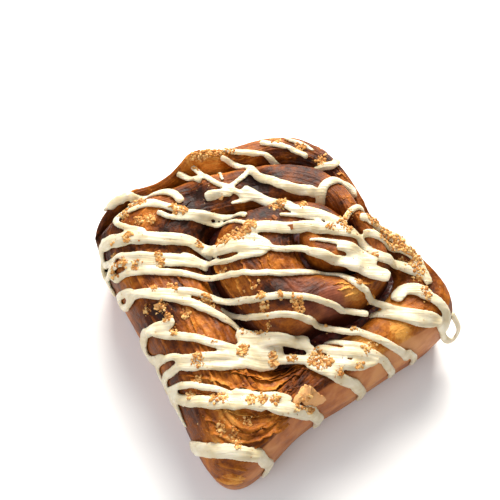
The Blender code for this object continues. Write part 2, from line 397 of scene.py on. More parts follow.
@dataclass
class DoughCoil:
    """The baked dough: a wound strip whose cut edge, with its flaky layers, faces up.

    Sizes are in millimetres. The mesh is one sheet laid along the winding, whose turns share their
    groove's floor, with the mould's smooth wall and flat base below it.
    """

    winding: Winding
    steps: int = 320  # along one turn
    rows: int = 100  # across the outer turns
    heart_rows: int = 25  # across the innermost turns, a divisor of rows
    outer_power: float = 2.3  # roundness of a turn's outer shoulder
    inner_power: float = 2.9
    floor_drop: float = 3.5  # how far the groove's floor lies below the filling
    layer: float = 2.1  # spacing of the flaky layers
    lift: float = 0.6  # how far a layer's edge stands up
    heart_dip: float = 2.5  # how far the very middle lies below the crest
    crown: float = 42.5  # height above which the turns flatten
    wall_rows: int = 16
    wall_power: float = 1.15  # above 1, its rows crowd towards the base
    base_inset: float = 1.6
    base_edge: float = 1.3
    base_round: float = 2.2  # height of the rounding at the foot
    wall_bow: float = 0.12  # how far the wall draws in half way up
    wall_edge: tuple[float, float] = (0.095, 0.22)  # how far across the wall reaches at the back, front
    strip_length: tuple[float, float] = (14.0, 30.0)  # radius of the strip at the heart, and more outside
    wall_length: float = 400.0  # round the wall
    swell_spread: float = 0.45  # how far a bulge of the first turn goes outwards, as a share of its rise
    crown_squash: float = 0.55  # share of the height above the crown that is lost
    # Paler and darker regions of the crust, partly painted shade in hollows and by the icing: place, radius
    # in millimetres, and tone
    bakes_and_shade: Spots = (
        (24, -41, 12, 1.5), (10, -43, 9, 1), (15.5, -22.5, 4.5, 1.7), (-4, -3, 5, 0.5),
        (-6, -11, 6.5, -1.8), (4, -15, 4, -0.5), (-30, -13, 6, 0.3), (-38, 1, 6, -0.9),
        (-41, -11, 5, -0.5), (-34, -38, 16, 0.5), (-36, -41, 9, 0.4), (-43, -49, 6, 0.4),
        (-40, 47, 9, -0.7), (-11, -20, 7, -0.4), (-16, 27, 10, -1.3), (8, 2, 6, -0.9),
        (24, 27, 9, -0.9), (1, 46, 8, 0.6), (-3, 49, 8, 1), (10, 29, 5, -2.5), (-12, 36, 4.5, -1.5),
        (39, 0, 8, 0.2),
    )
    # Bulges and hollows: place, radius and height in millimetres
    swells: Spots = (
        (-3, 49, 6.5, 3.9), (4, 49, 4, 1), (-20, 49.5, 6, -1.5), (10, 29, 4.5, -3), (-12, 36, 4, -2.5)
    )
    # Smooth skin, whose mauve tint is painted cool sheen: place, radius in millimetres, and strength
    skins_with_sheen: Spots = (
        (0, -14, 4, 0.6), (9.5, -21, 3.5, 0.7), (7, -25.5, 6.5, 1), (-2, -22.5, 4, 0.6), (27, -12, 8, 0.4)
    )
    noise: Lattice = field(default_factory=lambda: Lattice(11))

    def profile(self, rows: int) -> tuple[Array, Array]:
        """Section of a turn, evenly spaced along its length.

        Args:
            rows: Number of spaces between its points.

        Returns:
            Position across, from 1 at the outer side to -1, and height, from 0 to 1.
        """
        swing = np.linspace(0.0, math.pi, 4001)
        c, s = np.cos(swing), np.sin(swing)
        power = np.where(c > 0.0, self.outer_power, self.inner_power)
        x = np.sign(c) * np.abs(c) ** (2.0 / power)
        z = np.abs(s) ** (2.0 / power)
        run = np.concatenate([[0.0], np.cumsum(np.hypot(np.diff(x), 1.2 * np.diff(z)))])
        even = np.interp(np.linspace(0.0, run[-1], rows + 1), run, swing)
        return np.interp(even, swing, x), np.interp(even, swing, z)

    def lumps(self, place: Array) -> Array:
        """Gentle unevenness of the whole top, in millimetres, at points in plan."""
        broad = self.noise.at(place[..., 0] / 17.0 + 5.0, place[..., 1] / 17.0 + 9.0, 0.5)
        small = self.noise.at(place[..., 0] / 6.5 + 2.0, place[..., 1] / 6.5 + 3.0, 7.5)
        return 1.1 * broad + 0.45 * small

    @staticmethod
    def patches(place: Array, spots: Spots) -> Array:
        """Sum of round, soft-edged spots.

        Args:
            place: Points in plan, in millimetres.
            spots: Place, radius and strength of each.

        Returns:
            The sum at each point.
        """
        total = np.zeros(place.shape[:-1])
        for x, y, radius, tone in spots:
            far = ((place[..., 0] - x) ** 2 + (place[..., 1] - y) ** 2) / radius**2
            total += tone * np.exp(-far)
        return total

    def bake(self, place: Array) -> Array:
        """How pale or dark the crust has baked at points in plan, with painted shade in hollows and by the
        icing, from -1 to 1.
        """
        broad = self.noise.at(place[..., 0] / 14.0, place[..., 1] / 14.0, 30.5)
        return 0.3 * broad + self.patches(place, self.bakes_and_shade)

    def wall_top(self, turns: Array) -> Array:
        """How far across the first turn the mould's smooth wall reaches."""
        back, front = self.wall_edge
        return back + (front - back) * hump(turns, 0.69, 0.11)

    @staticmethod
    def moulded(turns: Array) -> Array:
        """How much of the pale, smooth wall a side has: all on the front right, none elsewhere."""
        return ease((turns - 0.545) / 0.03) * (1.0 - ease((turns - 0.768) / 0.014))

    def flakiness(self, turns: Array, across: Array) -> Array:
        """How strongly the layers stand out, from 0 on a smooth skin to about 2.

        Args:
            turns: Turns from the tail.
            across: 0 at a turn's outer side and 1 at its inner side.

        Returns:
            The strength.
        """
        shell = 1.0 - 0.4 * ease((turns - 1.5) / 0.1)
        shell = shell + 2.2 * hump(turns, 0.79, 0.075) * (1.0 - ease((across - 0.72) / 0.2))
        ribs = 0.5 * hump(turns, 1.0, 0.12) + 0.9 * hump(turns, 1.93, 0.10)
        skin = 0.9 * hump(turns, 1.70, 0.10) * (1.0 - ease((across - 0.40) / 0.12))
        right = 0.85 * hump(turns, 0.60, 0.08)
        outside = ease((across - self.wall_top(turns) + 0.03) / 0.08)
        outside = np.where(turns < 1.0, outside, 1.0)
        return (shell + ribs) * (1.0 - skin) * (1.0 - right) * outside

    def spans(self, turns: Array) -> tuple[Array, Array]:
        """Find a turn's two sides.

        Args:
            turns: Turns from the tail.

        Returns:
            How far out its outer and its inner side lie, from 0 at the heart to 1.
        """
        w = self.winding
        outer = np.where(turns < 1.0, 1.0, w.share(turns - 1.0) - w.gap(turns - 1.0) / w.half_side)
        inner = np.minimum(1.0, w.share(turns)) + w.gap(turns) / w.half_side
        inner = np.where(turns >= 3.0, 0.0, inner)
        outer = np.clip(outer, 0.0, 1.0)
        return outer, np.minimum(inner, outer)

    def wall_mask(self, turns: Array, across: Array, u: Array) -> Array:
        """How much of the mould's smooth wall shows on the first turn, with a slightly torn edge.

        Args:
            turns: Turns from the tail.
            across: 0 at a turn's outer side and 1 at its inner side.
            u: Along the strip, in millimetres.

        Returns:
            1 on the wall and 0 elsewhere.
        """
        edge = self.wall_top(turns) + 0.02 * self.noise.at(u / 9.0, 3.5, 40.5)
        edge = edge + 0.006 * self.noise.at(u / 1.8, 8.5, 41.5)
        mask = np.where(turns < 1.0, 1.0 - ease((across - edge) / 0.02 + 0.5), 0.0)
        return mask * self.moulded(turns)

    def arches(self, first: int, last: int, rows: int) -> Grids:
        """Points on top of the dough for a stretch of the winding.

        Args:
            first: First step.
            last: Last step, included.
            rows: Spaces across the turn.

        Returns:
            Arrays of shape (steps, rows + 1): the points, and what the materials read.
        """
        w = self.winding
        turns = np.arange(first, last + 1)[:, None] / self.steps
        angle = w.angle(turns)
        x, z = self.profile(rows)
        outer, inner = self.spans(turns)
        across = 0.5 * (1.0 - x)[None, :]
        share = outer + (inner - outer) * across
        place = w.plan(angle, share)
        outer_place = w.plan(angle, outer)
        inner_place = w.plan(angle, inner)
        width = np.linalg.norm(outer_place - inner_place, axis=-1)

        # Each side comes down to its groove's floor, and the middle rises to the crest
        middle = (outer + inner) / 2.0
        drop = self.floor_drop * ease(width / 6.0)
        outer_floor = w.groove(turns - 1.0) - drop
        outer_z = np.where(outer >= 1.0, w.level(outer_place, w.wall), outer_floor)
        inner_z = np.where(inner >= 1.0, w.level(inner_place, w.wall), w.groove(turns) - drop)
        stand = np.where(turns < 1.0, ease(width / 9.0), 1.0)
        lowest = np.maximum(outer_z, inner_z)
        top = lowest + (w.crest(w.plan(angle, middle), middle) - lowest) * stand
        side = np.where(x[None, :] > 0.0, outer_z, inner_z)
        height = side + (top - side) * z[None, :]
        span = (z[None, :] ** 1.5) * ease(width / 7.0)
        swell = self.patches(place, self.swells) * span
        height = height + self.lumps(place) * span + swell

        # The layers' ridges push out at right angles to the turn's section; u runs along the strip
        # and v across its skin, in millimetres
        scale = (width + 0.9 * (2.0 * top - outer_z - inner_z)) / 2.0
        bend = np.hypot(np.diff(x) / 2.0, np.diff(z) * 0.45)
        run = np.concatenate([[0.0], np.cumsum(bend)])
        v = run[None, :] / run[-1] * scale * 2.0
        least, more = self.strip_length
        u = np.broadcast_to(turns * math.tau * (least + more * middle), v.shape)
        ridge, shade, rough = self.layers(turns, u, v, across)
        rise = np.gradient(height, axis=1)
        flat = np.gradient(np.broadcast_to(across, height.shape) * width, axis=1)
        slope = np.hypot(rise, flat) + 1e-6
        outward = place - w.plan(angle, share * 0.98)
        outward = outward / (np.linalg.norm(outward, axis=-1, keepdims=True) + 1e-6)
        push = ridge * np.clip(3.0 * z[None, :], 0.0, 1.0) * ease(width / 5.0)
        spread = np.where(turns < 1.0, self.swell_spread * swell, 0.0)
        place = place + outward * (push * rise / slope + spread)[..., None]
        height = height + push * flat / slope

        # The turns die out at the heart, and the crown is gently squashed
        peak = float(w.crest(w.plan(np.zeros(1), np.zeros(1)), np.zeros(1))[0]) - self.heart_dip
        height = peak + (height - peak) * ease(share / 0.05)
        height = height - self.crown_squash * np.maximum(height - self.crown, 0.0)
        outside = (turns < 1.0) & (x[None, :] > 0.0)
        return {
            "points": np.concatenate([place, height[..., None]], axis=-1),
            "u": u,
            "v": v,
            "layers": shade,
            "flake": rough,
            "wall": np.broadcast_to(self.wall_mask(turns, across, u), v.shape),
            "skin": np.clip(self.patches(place, self.skins_with_sheen), 0.0, 1.0),
            "depth": np.where(outside, 0.0, top - height),
            "bake": self.bake(place),
        }

    def layers(self, turns: Array, u: Array, v: Array, across: Array) -> tuple[Array, Array, Array]:
        """Height and tone of the flaky layers that the cut edge shows.

        Args:
            turns: Turns from the tail.
            u: Along the strip, in millimetres.
            v: Across its skin, in millimetres.
            across: 0 at a turn's outer side and 1 at its inner side.

        Returns:
            How far out the surface stands in millimetres, the layers' tone from 0 in the gaps, which is
            painted shade, to 1 on the edges, pale with a painted highlight, and how flaky it is.
        """
        strength = np.broadcast_to(self.flakiness(turns, across), v.shape)
        wander = 2.2 * self.noise.at(u / 24.0, v / 13.0, 3.3)
        wander += 0.8 * self.noise.at(u / 7.0, v / 4.5, 13.1)
        wander += 0.3 * self.noise.at(u / 2.6, v / 2.4, 27.7)
        total = np.zeros_like(v)
        tone = np.zeros_like(v)
        for order, (spacing, part) in enumerate(((self.layer, 1.0), (self.layer * 0.42, 0.42))):
            count = (v + wander) / spacing
            number = np.floor(count)
            within = count - number
            torn = self.noise.at(number * 5.7 + 0.5, u / 8.0 + number * 3.1, 20.5 + order)
            own = self.noise.at(number * 3.3 + 7.5, u / 13.0 + number * 1.7, 33.5 + order)
            amount = np.clip(0.5 + 1.4 * torn, 0.0, 1.3)
            # The cracks between pages are painted dark as shade, and each page's edge a little paler,
            # partly painted highlight
            crack_shade = 1.0 - ease(np.minimum(within, 1.0 - within) / 0.11)
            total += part * amount * ease(within / 0.13) * (1.0 - 0.8 * within)
            tone += part * (0.3 * own + amount * (0.25 * hump(within, 0.2, 0.1) - 0.4 * crack_shade))
        tone = 0.5 + tone * np.clip(0.12 + 0.4 * strength, 0.12, 1.0)
        return self.lift * strength * total, np.clip(tone, 0.0, 1.0), strength

    def side_wall(self, rim: Array) -> Grids:
        """Points of the wall, from just below the first turn's outer side down to the base.

        Args:
            rim: Points of that side, one for each step.

        Returns:
            Arrays of shape (wall_rows, steps): the points, and what the materials read.
        """
        w, n = self.winding, self.steps
        turns = np.arange(n) / n
        part = (np.arange(1, self.wall_rows + 1) / self.wall_rows)[:, None]
        height = rim[:, 2] * (1.0 - part) ** self.wall_power
        low = 1.0 - height / rim[:, 2]
        foot = 1.0 - np.clip(height / self.base_round, 0.0, 1.0)
        inset = self.base_inset * low + self.base_edge * (1.0 - np.sqrt(1.0 - foot * foot))
        place = w.plan(w.angle(turns), np.ones(n), inset)
        dent = 0.22 * self.noise.at(place[..., 0] / 9.0, place[..., 1] / 9.0, height / 5.0)
        outward = place / (np.linalg.norm(place, axis=-1, keepdims=True) + 1e-6)
        bow = (self.wall_bow + dent) * np.sin(math.pi * np.minimum(part, 0.97))
        place = place - outward * bow[..., None]
        around = np.broadcast_to(turns * self.wall_length, height.shape)
        below = rim[:, 2] - height
        none = np.zeros(height.shape)
        return {
            "points": np.concatenate([place, height[..., None]], axis=-1),
            "u": around,
            "v": -below,
            "layers": 0.5 + 0.5 * self.noise.at(around / 1.5, height / 11.0, 50.5),
            "flake": none,
            "wall": np.maximum(self.moulded(turns), 0.85 * ease((below - 2.0) / 6.0)),
            "skin": none,
            "depth": none,
            "bake": self.bake(place) * (1.0 - 0.85 * ease(below / 4.0)),
        }

    def vertex(self, step: int, row: int) -> int:
        """Find the number of a vertex of the top.

        Args:
            step: Its step along the winding.
            row: Its row, counted in the outer turns' rows.

        Returns:
            Its number.
        """
        switch = 2 * self.steps
        if step <= switch:
            return step * (self.rows + 1) + row
        start = (switch + 1) * (self.rows + 1)
        small = row * self.heart_rows // self.rows
        return start + (step - switch) * (self.heart_rows + 1) + small

    def top_faces(self) -> Faces:
        """Faces over the outer turns, over the coarser heart, and along the grooves' floors."""
        n, at = self.steps, self.vertex
        faces: Faces = [
            (at(step, row), at(step + 1, row), at(step + 1, row + 1), at(step, row + 1))
            for step in range(2 * n)
            for row in range(self.rows)
        ]
        coarse = self.rows // self.heart_rows
        for step in range(2 * n, 4 * n):
            for row in range(0, self.rows, coarse):
                fine = range(row, row + coarse + 1) if step == 2 * n else (row, row + coarse)
                near = [at(step, r) for r in fine]
                faces.append((*reversed(near), at(step + 1, row), at(step + 1, row + coarse)))
        last = self.rows
        faces += [
            (at(step, last), at(step + 1, last), at(step + 1 + n, 0), at(step + n, 0))
            for step in range(3 * n)
        ]
        return faces

    def wall_faces(self, first: int) -> Faces:
        """Faces of the wall and of the base.

        Args:
            first: Number of the wall's first vertex.

        Returns:
            The faces, the base last.
        """
        rim = [[self.vertex(step, 0) for step in range(self.steps)]]
        rows = first + np.arange(self.wall_rows * self.steps).reshape(self.wall_rows, -1)
        rings = np.vstack([rim, rows])
        after = np.roll(rings, -1, axis=1)
        quads = np.stack([rings[:-1], rings[1:], after[1:], after[:-1]], axis=-1).reshape(-1, 4)
        return [*map(tuple, quads.tolist()), tuple(rings[-1, ::-1].tolist())]

    def close_heart(self, piece: Piece) -> None:
        """Draw the last turns together at the heart and weld what meets.

        Args:
            piece: The dough.
        """
        w = self.winding
        heart = Vector((*(np.array(w.heart) - w.middle), 0.0)) * MM
        bm = bmesh.new()
        bm.from_mesh(piece.data)
        core = [v for v in bm.verts if (v.co.xy - heart.xy).length < 0.8 * MM]
        bmesh.ops.pointmerge(bm, verts=core, merge_co=core[-1].co)
        bmesh.ops.remove_doubles(bm, verts=bm.verts, dist=0.002 * MM)
        bmesh.ops.dissolve_degenerate(bm, edges=bm.edges, dist=0.001 * MM)
        bm.to_mesh(piece.data)
        bm.free()

    def build(self) -> Piece:
        """Build the dough's mesh with its attributes and strip coordinates.

        Returns:
            The object, not yet dressed.
        """
        n = self.steps
        outer = self.arches(0, 2 * n, self.rows)
        heart = self.arches(2 * n, 4 * n, self.heart_rows)
        wall = self.side_wall(outer["points"][:n, 0])
        first = outer["u"].size + heart["u"].size
        faces = self.top_faces() + self.wall_faces(first)
        piece = crust_piece("baked_dough", [outer, heart, wall], faces)
        self.close_heart(piece)
        face_outwards(piece)
        return piece

    def dress(self, piece: Piece, crust: Finish) -> None:
        """Give the dough its crust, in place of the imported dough."""
        finish_piece(piece, crust, "dough_coil")


@dataclass(frozen=True)
class Sheet:
    """A thin sheet of crust lifted from the cut edge like a shingle.

    Attributes:
        first: Turns from the tail where it starts.
        last: Turns where it ends.
        across: Where its free edge lies, from 0 at the turn's outer side to 1.
        bow: How far its ends draw back outwards.
        tilt: How far its end lies further across than its start, halved.
        width: From the free edge to the root, in millimetres.
        lift: How far the free edge stands up, in millimetres.
        pale: Added to how pale it has baked.
        raised: How far all of it stands above the crust, where icing runs under it.
    """

    first: float
    last: float
    across: float
    bow: float
    tilt: float
    width: float
    lift: float
    pale: float = 0.0
    raised: float = 0.0


@dataclass
class LooseLayers:
    """Sheets of crust that have flaked up from the cut edge, in millimetres."""

    coil: DoughCoil
    thickness: float = 0.4
    step: float = 0.45
    columns: int = 6
    round_turn: float = 330.0  # length of one turn, by which a sheet's steps are counted
    few: int = 34  # small ones over the far and left turns
    sheets: tuple[Sheet, ...] = (
        # Nested round the near corner
        Sheet(0.776, 0.800, 0.215, 0.03, 0.00, 1.8, 0.9, 0.1),
        Sheet(0.768, 0.804, 0.285, 0.04, 0.00, 2.0, 1.0, 0.3),
        Sheet(0.742, 0.815, 0.360, 0.09, 0.01, 2.6, 1.3, 0.2),
        Sheet(0.750, 0.822, 0.410, 0.09, -0.03, 2.6, 1.1, 0.0),
        Sheet(0.760, 0.826, 0.470, 0.09, -0.06, 2.4, 1.0, 0.3),
        Sheet(0.742, 0.838, 0.530, 0.14, -0.10, 2.6, 1.0, 0.1),
        Sheet(0.724, 0.854, 0.600, 0.20, -0.13, 2.8, 1.3, 0.2),
        Sheet(0.742, 0.848, 0.655, 0.16, -0.12, 2.4, 1.1, -0.1),
        Sheet(0.750, 0.830, 0.690, 0.07, -0.09, 2.2, 1.0, 0.3),
        Sheet(0.745, 0.835, 0.760, 0.06, -0.06, 2.2, 0.8, -0.2),
        # Torn edges at the very corner
        Sheet(0.777, 0.797, 0.075, 0.02, 0.00, 2.2, 0.8, 0.6),
        Sheet(0.776, 0.793, 0.135, 0.03, 0.02, 2.2, 0.9, 0.9),
        # Ribs at the left of the mound, and leaves at its right
        Sheet(1.865, 1.975, 0.20, 0.02, 0.00, 1.3, 0.6, 0.5),
        Sheet(1.855, 1.960, 0.28, 0.02, 0.03, 1.3, 0.6, 0.1),
        Sheet(1.870, 1.985, 0.37, 0.02, 0.02, 1.4, 0.6, 0.6),
        Sheet(1.845, 1.930, 0.46, 0.02, 0.02, 1.2, 0.5, 0.2),
        Sheet(1.880, 1.990, 0.54, 0.02, 0.02, 1.2, 0.5, 0.4),
        Sheet(1.595, 1.700, 0.52, 0.03, 0.05, 1.4, 0.5, 0.2),
        Sheet(1.595, 1.690, 0.44, 0.04, 0.06, 1.4, 0.6, 0.5),
        Sheet(1.598, 1.675, 0.36, 0.05, 0.05, 1.2, 0.6, 0.2),
        Sheet(1.600, 1.622, 0.20, 0.03, 0.00, 1.6, 1.2, 0.8),
        # The left side
        Sheet(0.872, 0.925, 0.30, 0.03, 0.02, 1.5, 0.6, 0.2),
        Sheet(0.880, 0.960, 0.40, 0.03, 0.00, 1.6, 0.6, 0.0),
        Sheet(0.862, 0.930, 0.52, 0.03, 0.03, 1.6, 0.6, 0.3),
        Sheet(0.900, 1.010, 0.58, 0.02, 0.00, 1.4, 0.6, 0.1),
    )
    # The big pale flake that lies over the icing
    topmost: tuple[Sheet, ...] = (Sheet(0.704, 0.748, 0.41, 0.06, 0.10, -5.0, 1.6, 2.8, 1.3),)
    noise: Lattice = field(default_factory=lambda: Lattice(61))

    @staticmethod
    def read(grid: Array, step: Array, row: Array) -> Array:
        """Read a grid between its points.

        Args:
            grid: Array (steps, rows, ...).
            step: Steps, not whole.
            row: Rows, not whole, of the same shape.

        Returns:
            The values there.
        """
        i = np.clip(step.astype(int), 0, grid.shape[0] - 2)
        j = np.clip(row.astype(int), 0, grid.shape[1] - 2)
        extra = (1,) * (grid.ndim - 2)
        a = (step - i).reshape(*step.shape, *extra)
        b = (row - j).reshape(*row.shape, *extra)
        low = grid[i, j] * (1.0 - b) + grid[i, j + 1] * b
        high = grid[i + 1, j] * (1.0 - b) + grid[i + 1, j + 1] * b
        return low * (1.0 - a) + high * a

    def scattered(self) -> list[Sheet]:
        """Small sheets at random over the far and left turns."""
        rng = np.random.default_rng(17)
        found = []
        for _ in range(self.few):
            first = rng.choice([0.05, 0.86, 1.02, 1.70]) + rng.uniform(0.0, 0.42)
            if first > 1.92 or 0.50 < first < 0.86:
                continue
            across = rng.uniform(0.3, 0.75)
            last = first + rng.uniform(0.025, 0.07)
            # Its tilt, width, lift and paleness
            spans = ((-0.03, 0.03), (0.9, 1.8), (0.3, 0.7), (-0.2, 0.5))
            found.append(Sheet(first, last, across, 0.02, *(rng.uniform(*span) for span in spans)))
        return found

    def ground(self) -> Grids:
        """Read the crust that the sheets stand on.

        Returns:
            The dough's grids, with its normals and with its width across each turn as "reach".
        """
        coil = self.coil
        grid = coil.arches(0, 2 * coil.steps, coil.rows)
        along, over = np.gradient(grid["points"], axis=0), np.gradient(grid["points"], axis=1)
        normals = np.cross(along, over)
        normals /= np.linalg.norm(normals, axis=2, keepdims=True) + 1e-9
        normals *= np.where(normals[coil.steps // 2, coil.rows // 2, 2] < 0.0, -1.0, 1.0)
        grid["normals"] = normals
        grid["reach"] = np.linalg.norm(over, axis=2) * coil.rows
        return grid

    def lay(self, sheet: Sheet, number: int, ground: Grids) -> Grids:
        """Lay one sheet on the crust.

        Args:
            sheet: The sheet.
            number: Its number, which varies its torn edge.
            ground: The crust's grids.

        Returns:
            Arrays of shape (2, steps + 1, columns + 1), its upper and lower side: the points, and
            what the materials read.
        """
        coil = self.coil
        count = max(6, round((sheet.last - sheet.first) * self.round_turn / self.step))
        part = np.linspace(0.0, 1.0, self.columns + 1)[None, :]
        way = np.linspace(0.0, 1.0, count + 1)[:, None]
        turns = sheet.first + (sheet.last - sheet.first) * way
        swing = 2.0 * way - 1.0
        torn = 0.55 * self.noise.at(turns * 150.0, number * 3.7, 0.5)
        torn = torn + 0.35 * self.noise.at(turns * 420.0, number * 5.3, 4.5)
        middle = sheet.across + sheet.tilt * swing
        scale = self.read(ground["reach"], turns * coil.steps, middle * coil.rows)
        taper = np.sin(math.pi * np.clip(way, 0.004, 0.996)) ** 0.45
        edge = middle - sheet.bow * swing**2 + torn / scale
        across = edge + sheet.width * taper / scale * part
        step, row = np.broadcast_arrays(turns * coil.steps, across * coil.rows)
        place, up, u, v = (self.read(ground[k], step, row) for k in ("points", "normals", "u", "v"))
        wave = 0.75 + 0.6 * self.noise.at(turns * 110.0, number * 2.9, 8.5)
        rise = sheet.lift * taper * wave * (1.0 - part) ** 1.3 + 0.12 - 0.35 * part
        top = place + up * (rise + sheet.raised)[..., None]
        flutter = self.noise.at(turns * 90.0, number * 4.1 + part * 2.0, 12.5)
        # The upper side is paler towards its free edge: a crisp edge with a painted highlight, varied at
        # random
        tone_with_edge_highlight = 0.52 + 0.22 * (1.0 - part) ** 2 + 0.2 * flutter
        bake = coil.bake(place[..., :2]) + sheet.pale
        both = np.ones((2, *tone_with_edge_highlight.shape))
        none = np.zeros(both.shape)
        return {
            "points": np.stack([top, top - up * self.thickness]),
            "u": both * u,
            "v": both * v,
            # The lower side is painted darker in tone and in bake: shade under the sheet
            "layers": np.stack([tone_with_edge_highlight, np.full(tone_with_edge_highlight.shape, 0.15)]),
            "flake": both,
            "wall": none,
            "skin": none,
            "depth": none,
            "bake": np.stack([bake, bake - 0.6]),
        }

    @staticmethod
    def shell(top: Array, low: Array) -> Faces:
        """Faces that close a sheet: both sides and the rim.

        Args:
            top: Array (steps, columns) of its upper side's vertex numbers.
            low: The same of its lower side.

        Returns:
            The faces.
        """
        faces: Faces = []
        for i in range(len(top) - 1):
            for a, b in zip(top[i : i + 2].T, top[i : i + 2].T[1:]):
                faces.append((a[0], a[1], b[1], b[0]))
                faces.append(tuple(v + low[0, 0] - top[0, 0] for v in (b[0], b[1], a[1], a[0])))
            faces.append((top[i, 0], low[i, 0], low[i + 1, 0], top[i + 1, 0]))
            faces.append((top[i + 1, -1], low[i + 1, -1], low[i, -1], top[i, -1]))
        for j in range(top.shape[1] - 1):
            faces.append((top[0, j + 1], low[0, j + 1], low[0, j], top[0, j]))
            faces.append((top[-1, j], low[-1, j], low[-1, j + 1], top[-1, j + 1]))
        return [tuple(int(v) for v in face) for face in faces]

    def build(self, name: str, sheets: list[Sheet]) -> Piece:
        """Build sheets as closed shells in one mesh.

        Args:
            name: Name of the piece.
            sheets: Its sheets.

        Returns:
            The object, not yet dressed.
        """
        ground = self.ground()
        laid = [self.lay(sheet, number, ground) for number, sheet in enumerate(sheets)]
        faces: Faces = []
        start = 0
        for sheet in laid:
            size = sheet["u"].size
            top, low = np.arange(start, start + size).reshape(sheet["u"].shape)
            faces += self.shell(top, low)
            start += size
        piece = crust_piece(name, laid, faces)
        face_outwards(piece)
        return piece

    def dress(self, piece: Piece, crust: Finish) -> None:
        """Give loose sheets their crust."""
        finish_piece(piece, crust)


def feed(tree: Tree, node: bpy.types.Node, inputs: dict[str | int, object]) -> None:
    """Set a node's inputs or link them.

    Args:
        tree: The node tree it is in.
        node: The node.
        inputs: For each input's name or number, a value or the output socket that feeds it.
    """
    for key, value in inputs.items():
        if isinstance(value, bpy.types.NodeSocket):
            tree.links.new(value, node.inputs[key])
        else:
            node.inputs[key].default_value = value


def add_node(
    tree: Tree,
    kind: str,
    inputs: dict[str | int, object] | None = None,
    stops: list[tuple[float, str]] | None = None,
    **settings: object,
) -> bpy.types.Node:
    """Add a node, set it up and link it.

    Args:
        tree: The node tree it goes in.
        kind: The node's type name.
        inputs: For each input's name or number, a value or the output socket that feeds it.
        stops: Places and sRGB hex colours of a colour ramp.
        **settings: The node's own properties.

    Returns:
        The node.
    """
    node = tree.nodes.new(kind)
    for name, value in settings.items():
        setattr(node, name, value)
    feed(tree, node, inputs or {})
    if stops:
        ramp = node.color_ramp.elements
        while len(ramp) < len(stops):
            ramp.new(0.5)
        for element, (place, colour) in zip(ramp, stops):
            element.position, element.color = place, linear(colour)
    return node


def cells(size_mm: float) -> float:
    """Scale at which a pattern's cells are this many millimetres long."""
    return 1.0 / (size_mm * MM)


def new_material(name: str) -> tuple[Finish, Tree, bpy.types.Node]:
    """Make a material with one Principled shader.

    Args:
        name: What the material is.

    Returns:
        The material, its node tree and the shader node.
    """
    material = bpy.data.materials.new(name)
    material.use_nodes = True
    return material, material.node_tree, material.node_tree.nodes["Principled BSDF"]


@dataclass(frozen=True)
class Viewpoint:
    """The camera, in the frame's metres and degrees."""

    place: tuple[float, float, float] = (-0.0681, -0.1037, 0.2384)
    turn: tuple[float, float, float] = (32.47, 0.0, -29.57)
    lens_mm: float = 51.12
    sensor_mm: float = 36.0

    def build(self) -> Piece:
        """Add the camera and make it the scene's."""
        data = bpy.data.cameras.new("camera")
        data.lens = self.lens_mm
        data.sensor_width = self.sensor_mm
        data.dof.use_dof = False
        data.clip_start = 0.01
        camera = add_object("camera", data)
        camera.location = self.place
        camera.rotation_euler = Euler([math.radians(a) for a in self.turn])
        bpy.context.scene.camera = camera
        return camera


@dataclass
class FillingSheet:
    """The cinnamon filling: a sticky sheet wound up with the dough, seen in the grooves.

    Sizes are in millimetres.
    """

    winding: Winding
    first: float = 0.05  # turns at which it starts
    last: float = 2.05
    steps: int = 240  # along one turn
    columns: int = 12  # across its top
    sink: float = 0.9  # how far its top lies below the groove's level
    spread: float = 1.7  # how far its top spreads beyond its thickness on each side
    noise: Lattice = field(default_factory=lambda: Lattice(23))

    def build(self) -> Piece:
        """Build the filling as one closed ribbon.

        Returns:
            The object, not yet dressed.
        """
        w = self.winding
        turns = np.arange(round(self.first * self.steps), round(self.last * self.steps) + 1)
        turns = turns / self.steps
        middle = w.plan(w.angle(turns), w.share(turns))
        along = np.gradient(middle, axis=0)
        along /= np.linalg.norm(along, axis=1, keepdims=True)
        across = np.column_stack([-along[:, 1], along[:, 0]])
        half = w.gap(turns) + 0.25
        part = np.linspace(-1.0, 1.0, self.columns + 1)
        place = middle[:, None, :] + across[:, None, :] * (
            (half + self.spread)[:, None, None] * part[None, :, None]
        )
        coarse = self.noise.at(place[..., 0] / 2.6, place[..., 1] / 2.6, 1.5)
        fine = self.noise.at(place[..., 0] / 1.1, place[..., 1] / 1.1, 9.5)
        top = w.groove(turns)[:, None] - self.sink + 0.55 * coarse + 0.25 * fine
        top = top + 0.5 * np.abs(part)[None, :] ** 3
        top = np.maximum(top, 1.0)
        bottom = np.array([1.0, -1.0])[None, :, None] * (half * 0.9)[:, None, None]
        foot = middle[:, None, :] + across[:, None, :] * bottom
        rows = [
            np.concatenate([place, top[..., None]], axis=-1),
            np.concatenate([foot, np.zeros((len(turns), 2, 1))], axis=-1),
        ]
        ring = np.concatenate(rows, axis=1)
        faces = tube_faces(np.arange(ring.size // 3).reshape(ring.shape[:2]))
        piece = make_mesh("cinnamon_filling_sheet", ring.reshape(-1, 3), faces)
        face_outwards(piece)
        return piece

    def dress(self, piece: Piece) -> None:
        """Give the filling its syrup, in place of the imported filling."""
        finish_piece(piece, CinnamonSyrup().material(), "cinnamon_filling")


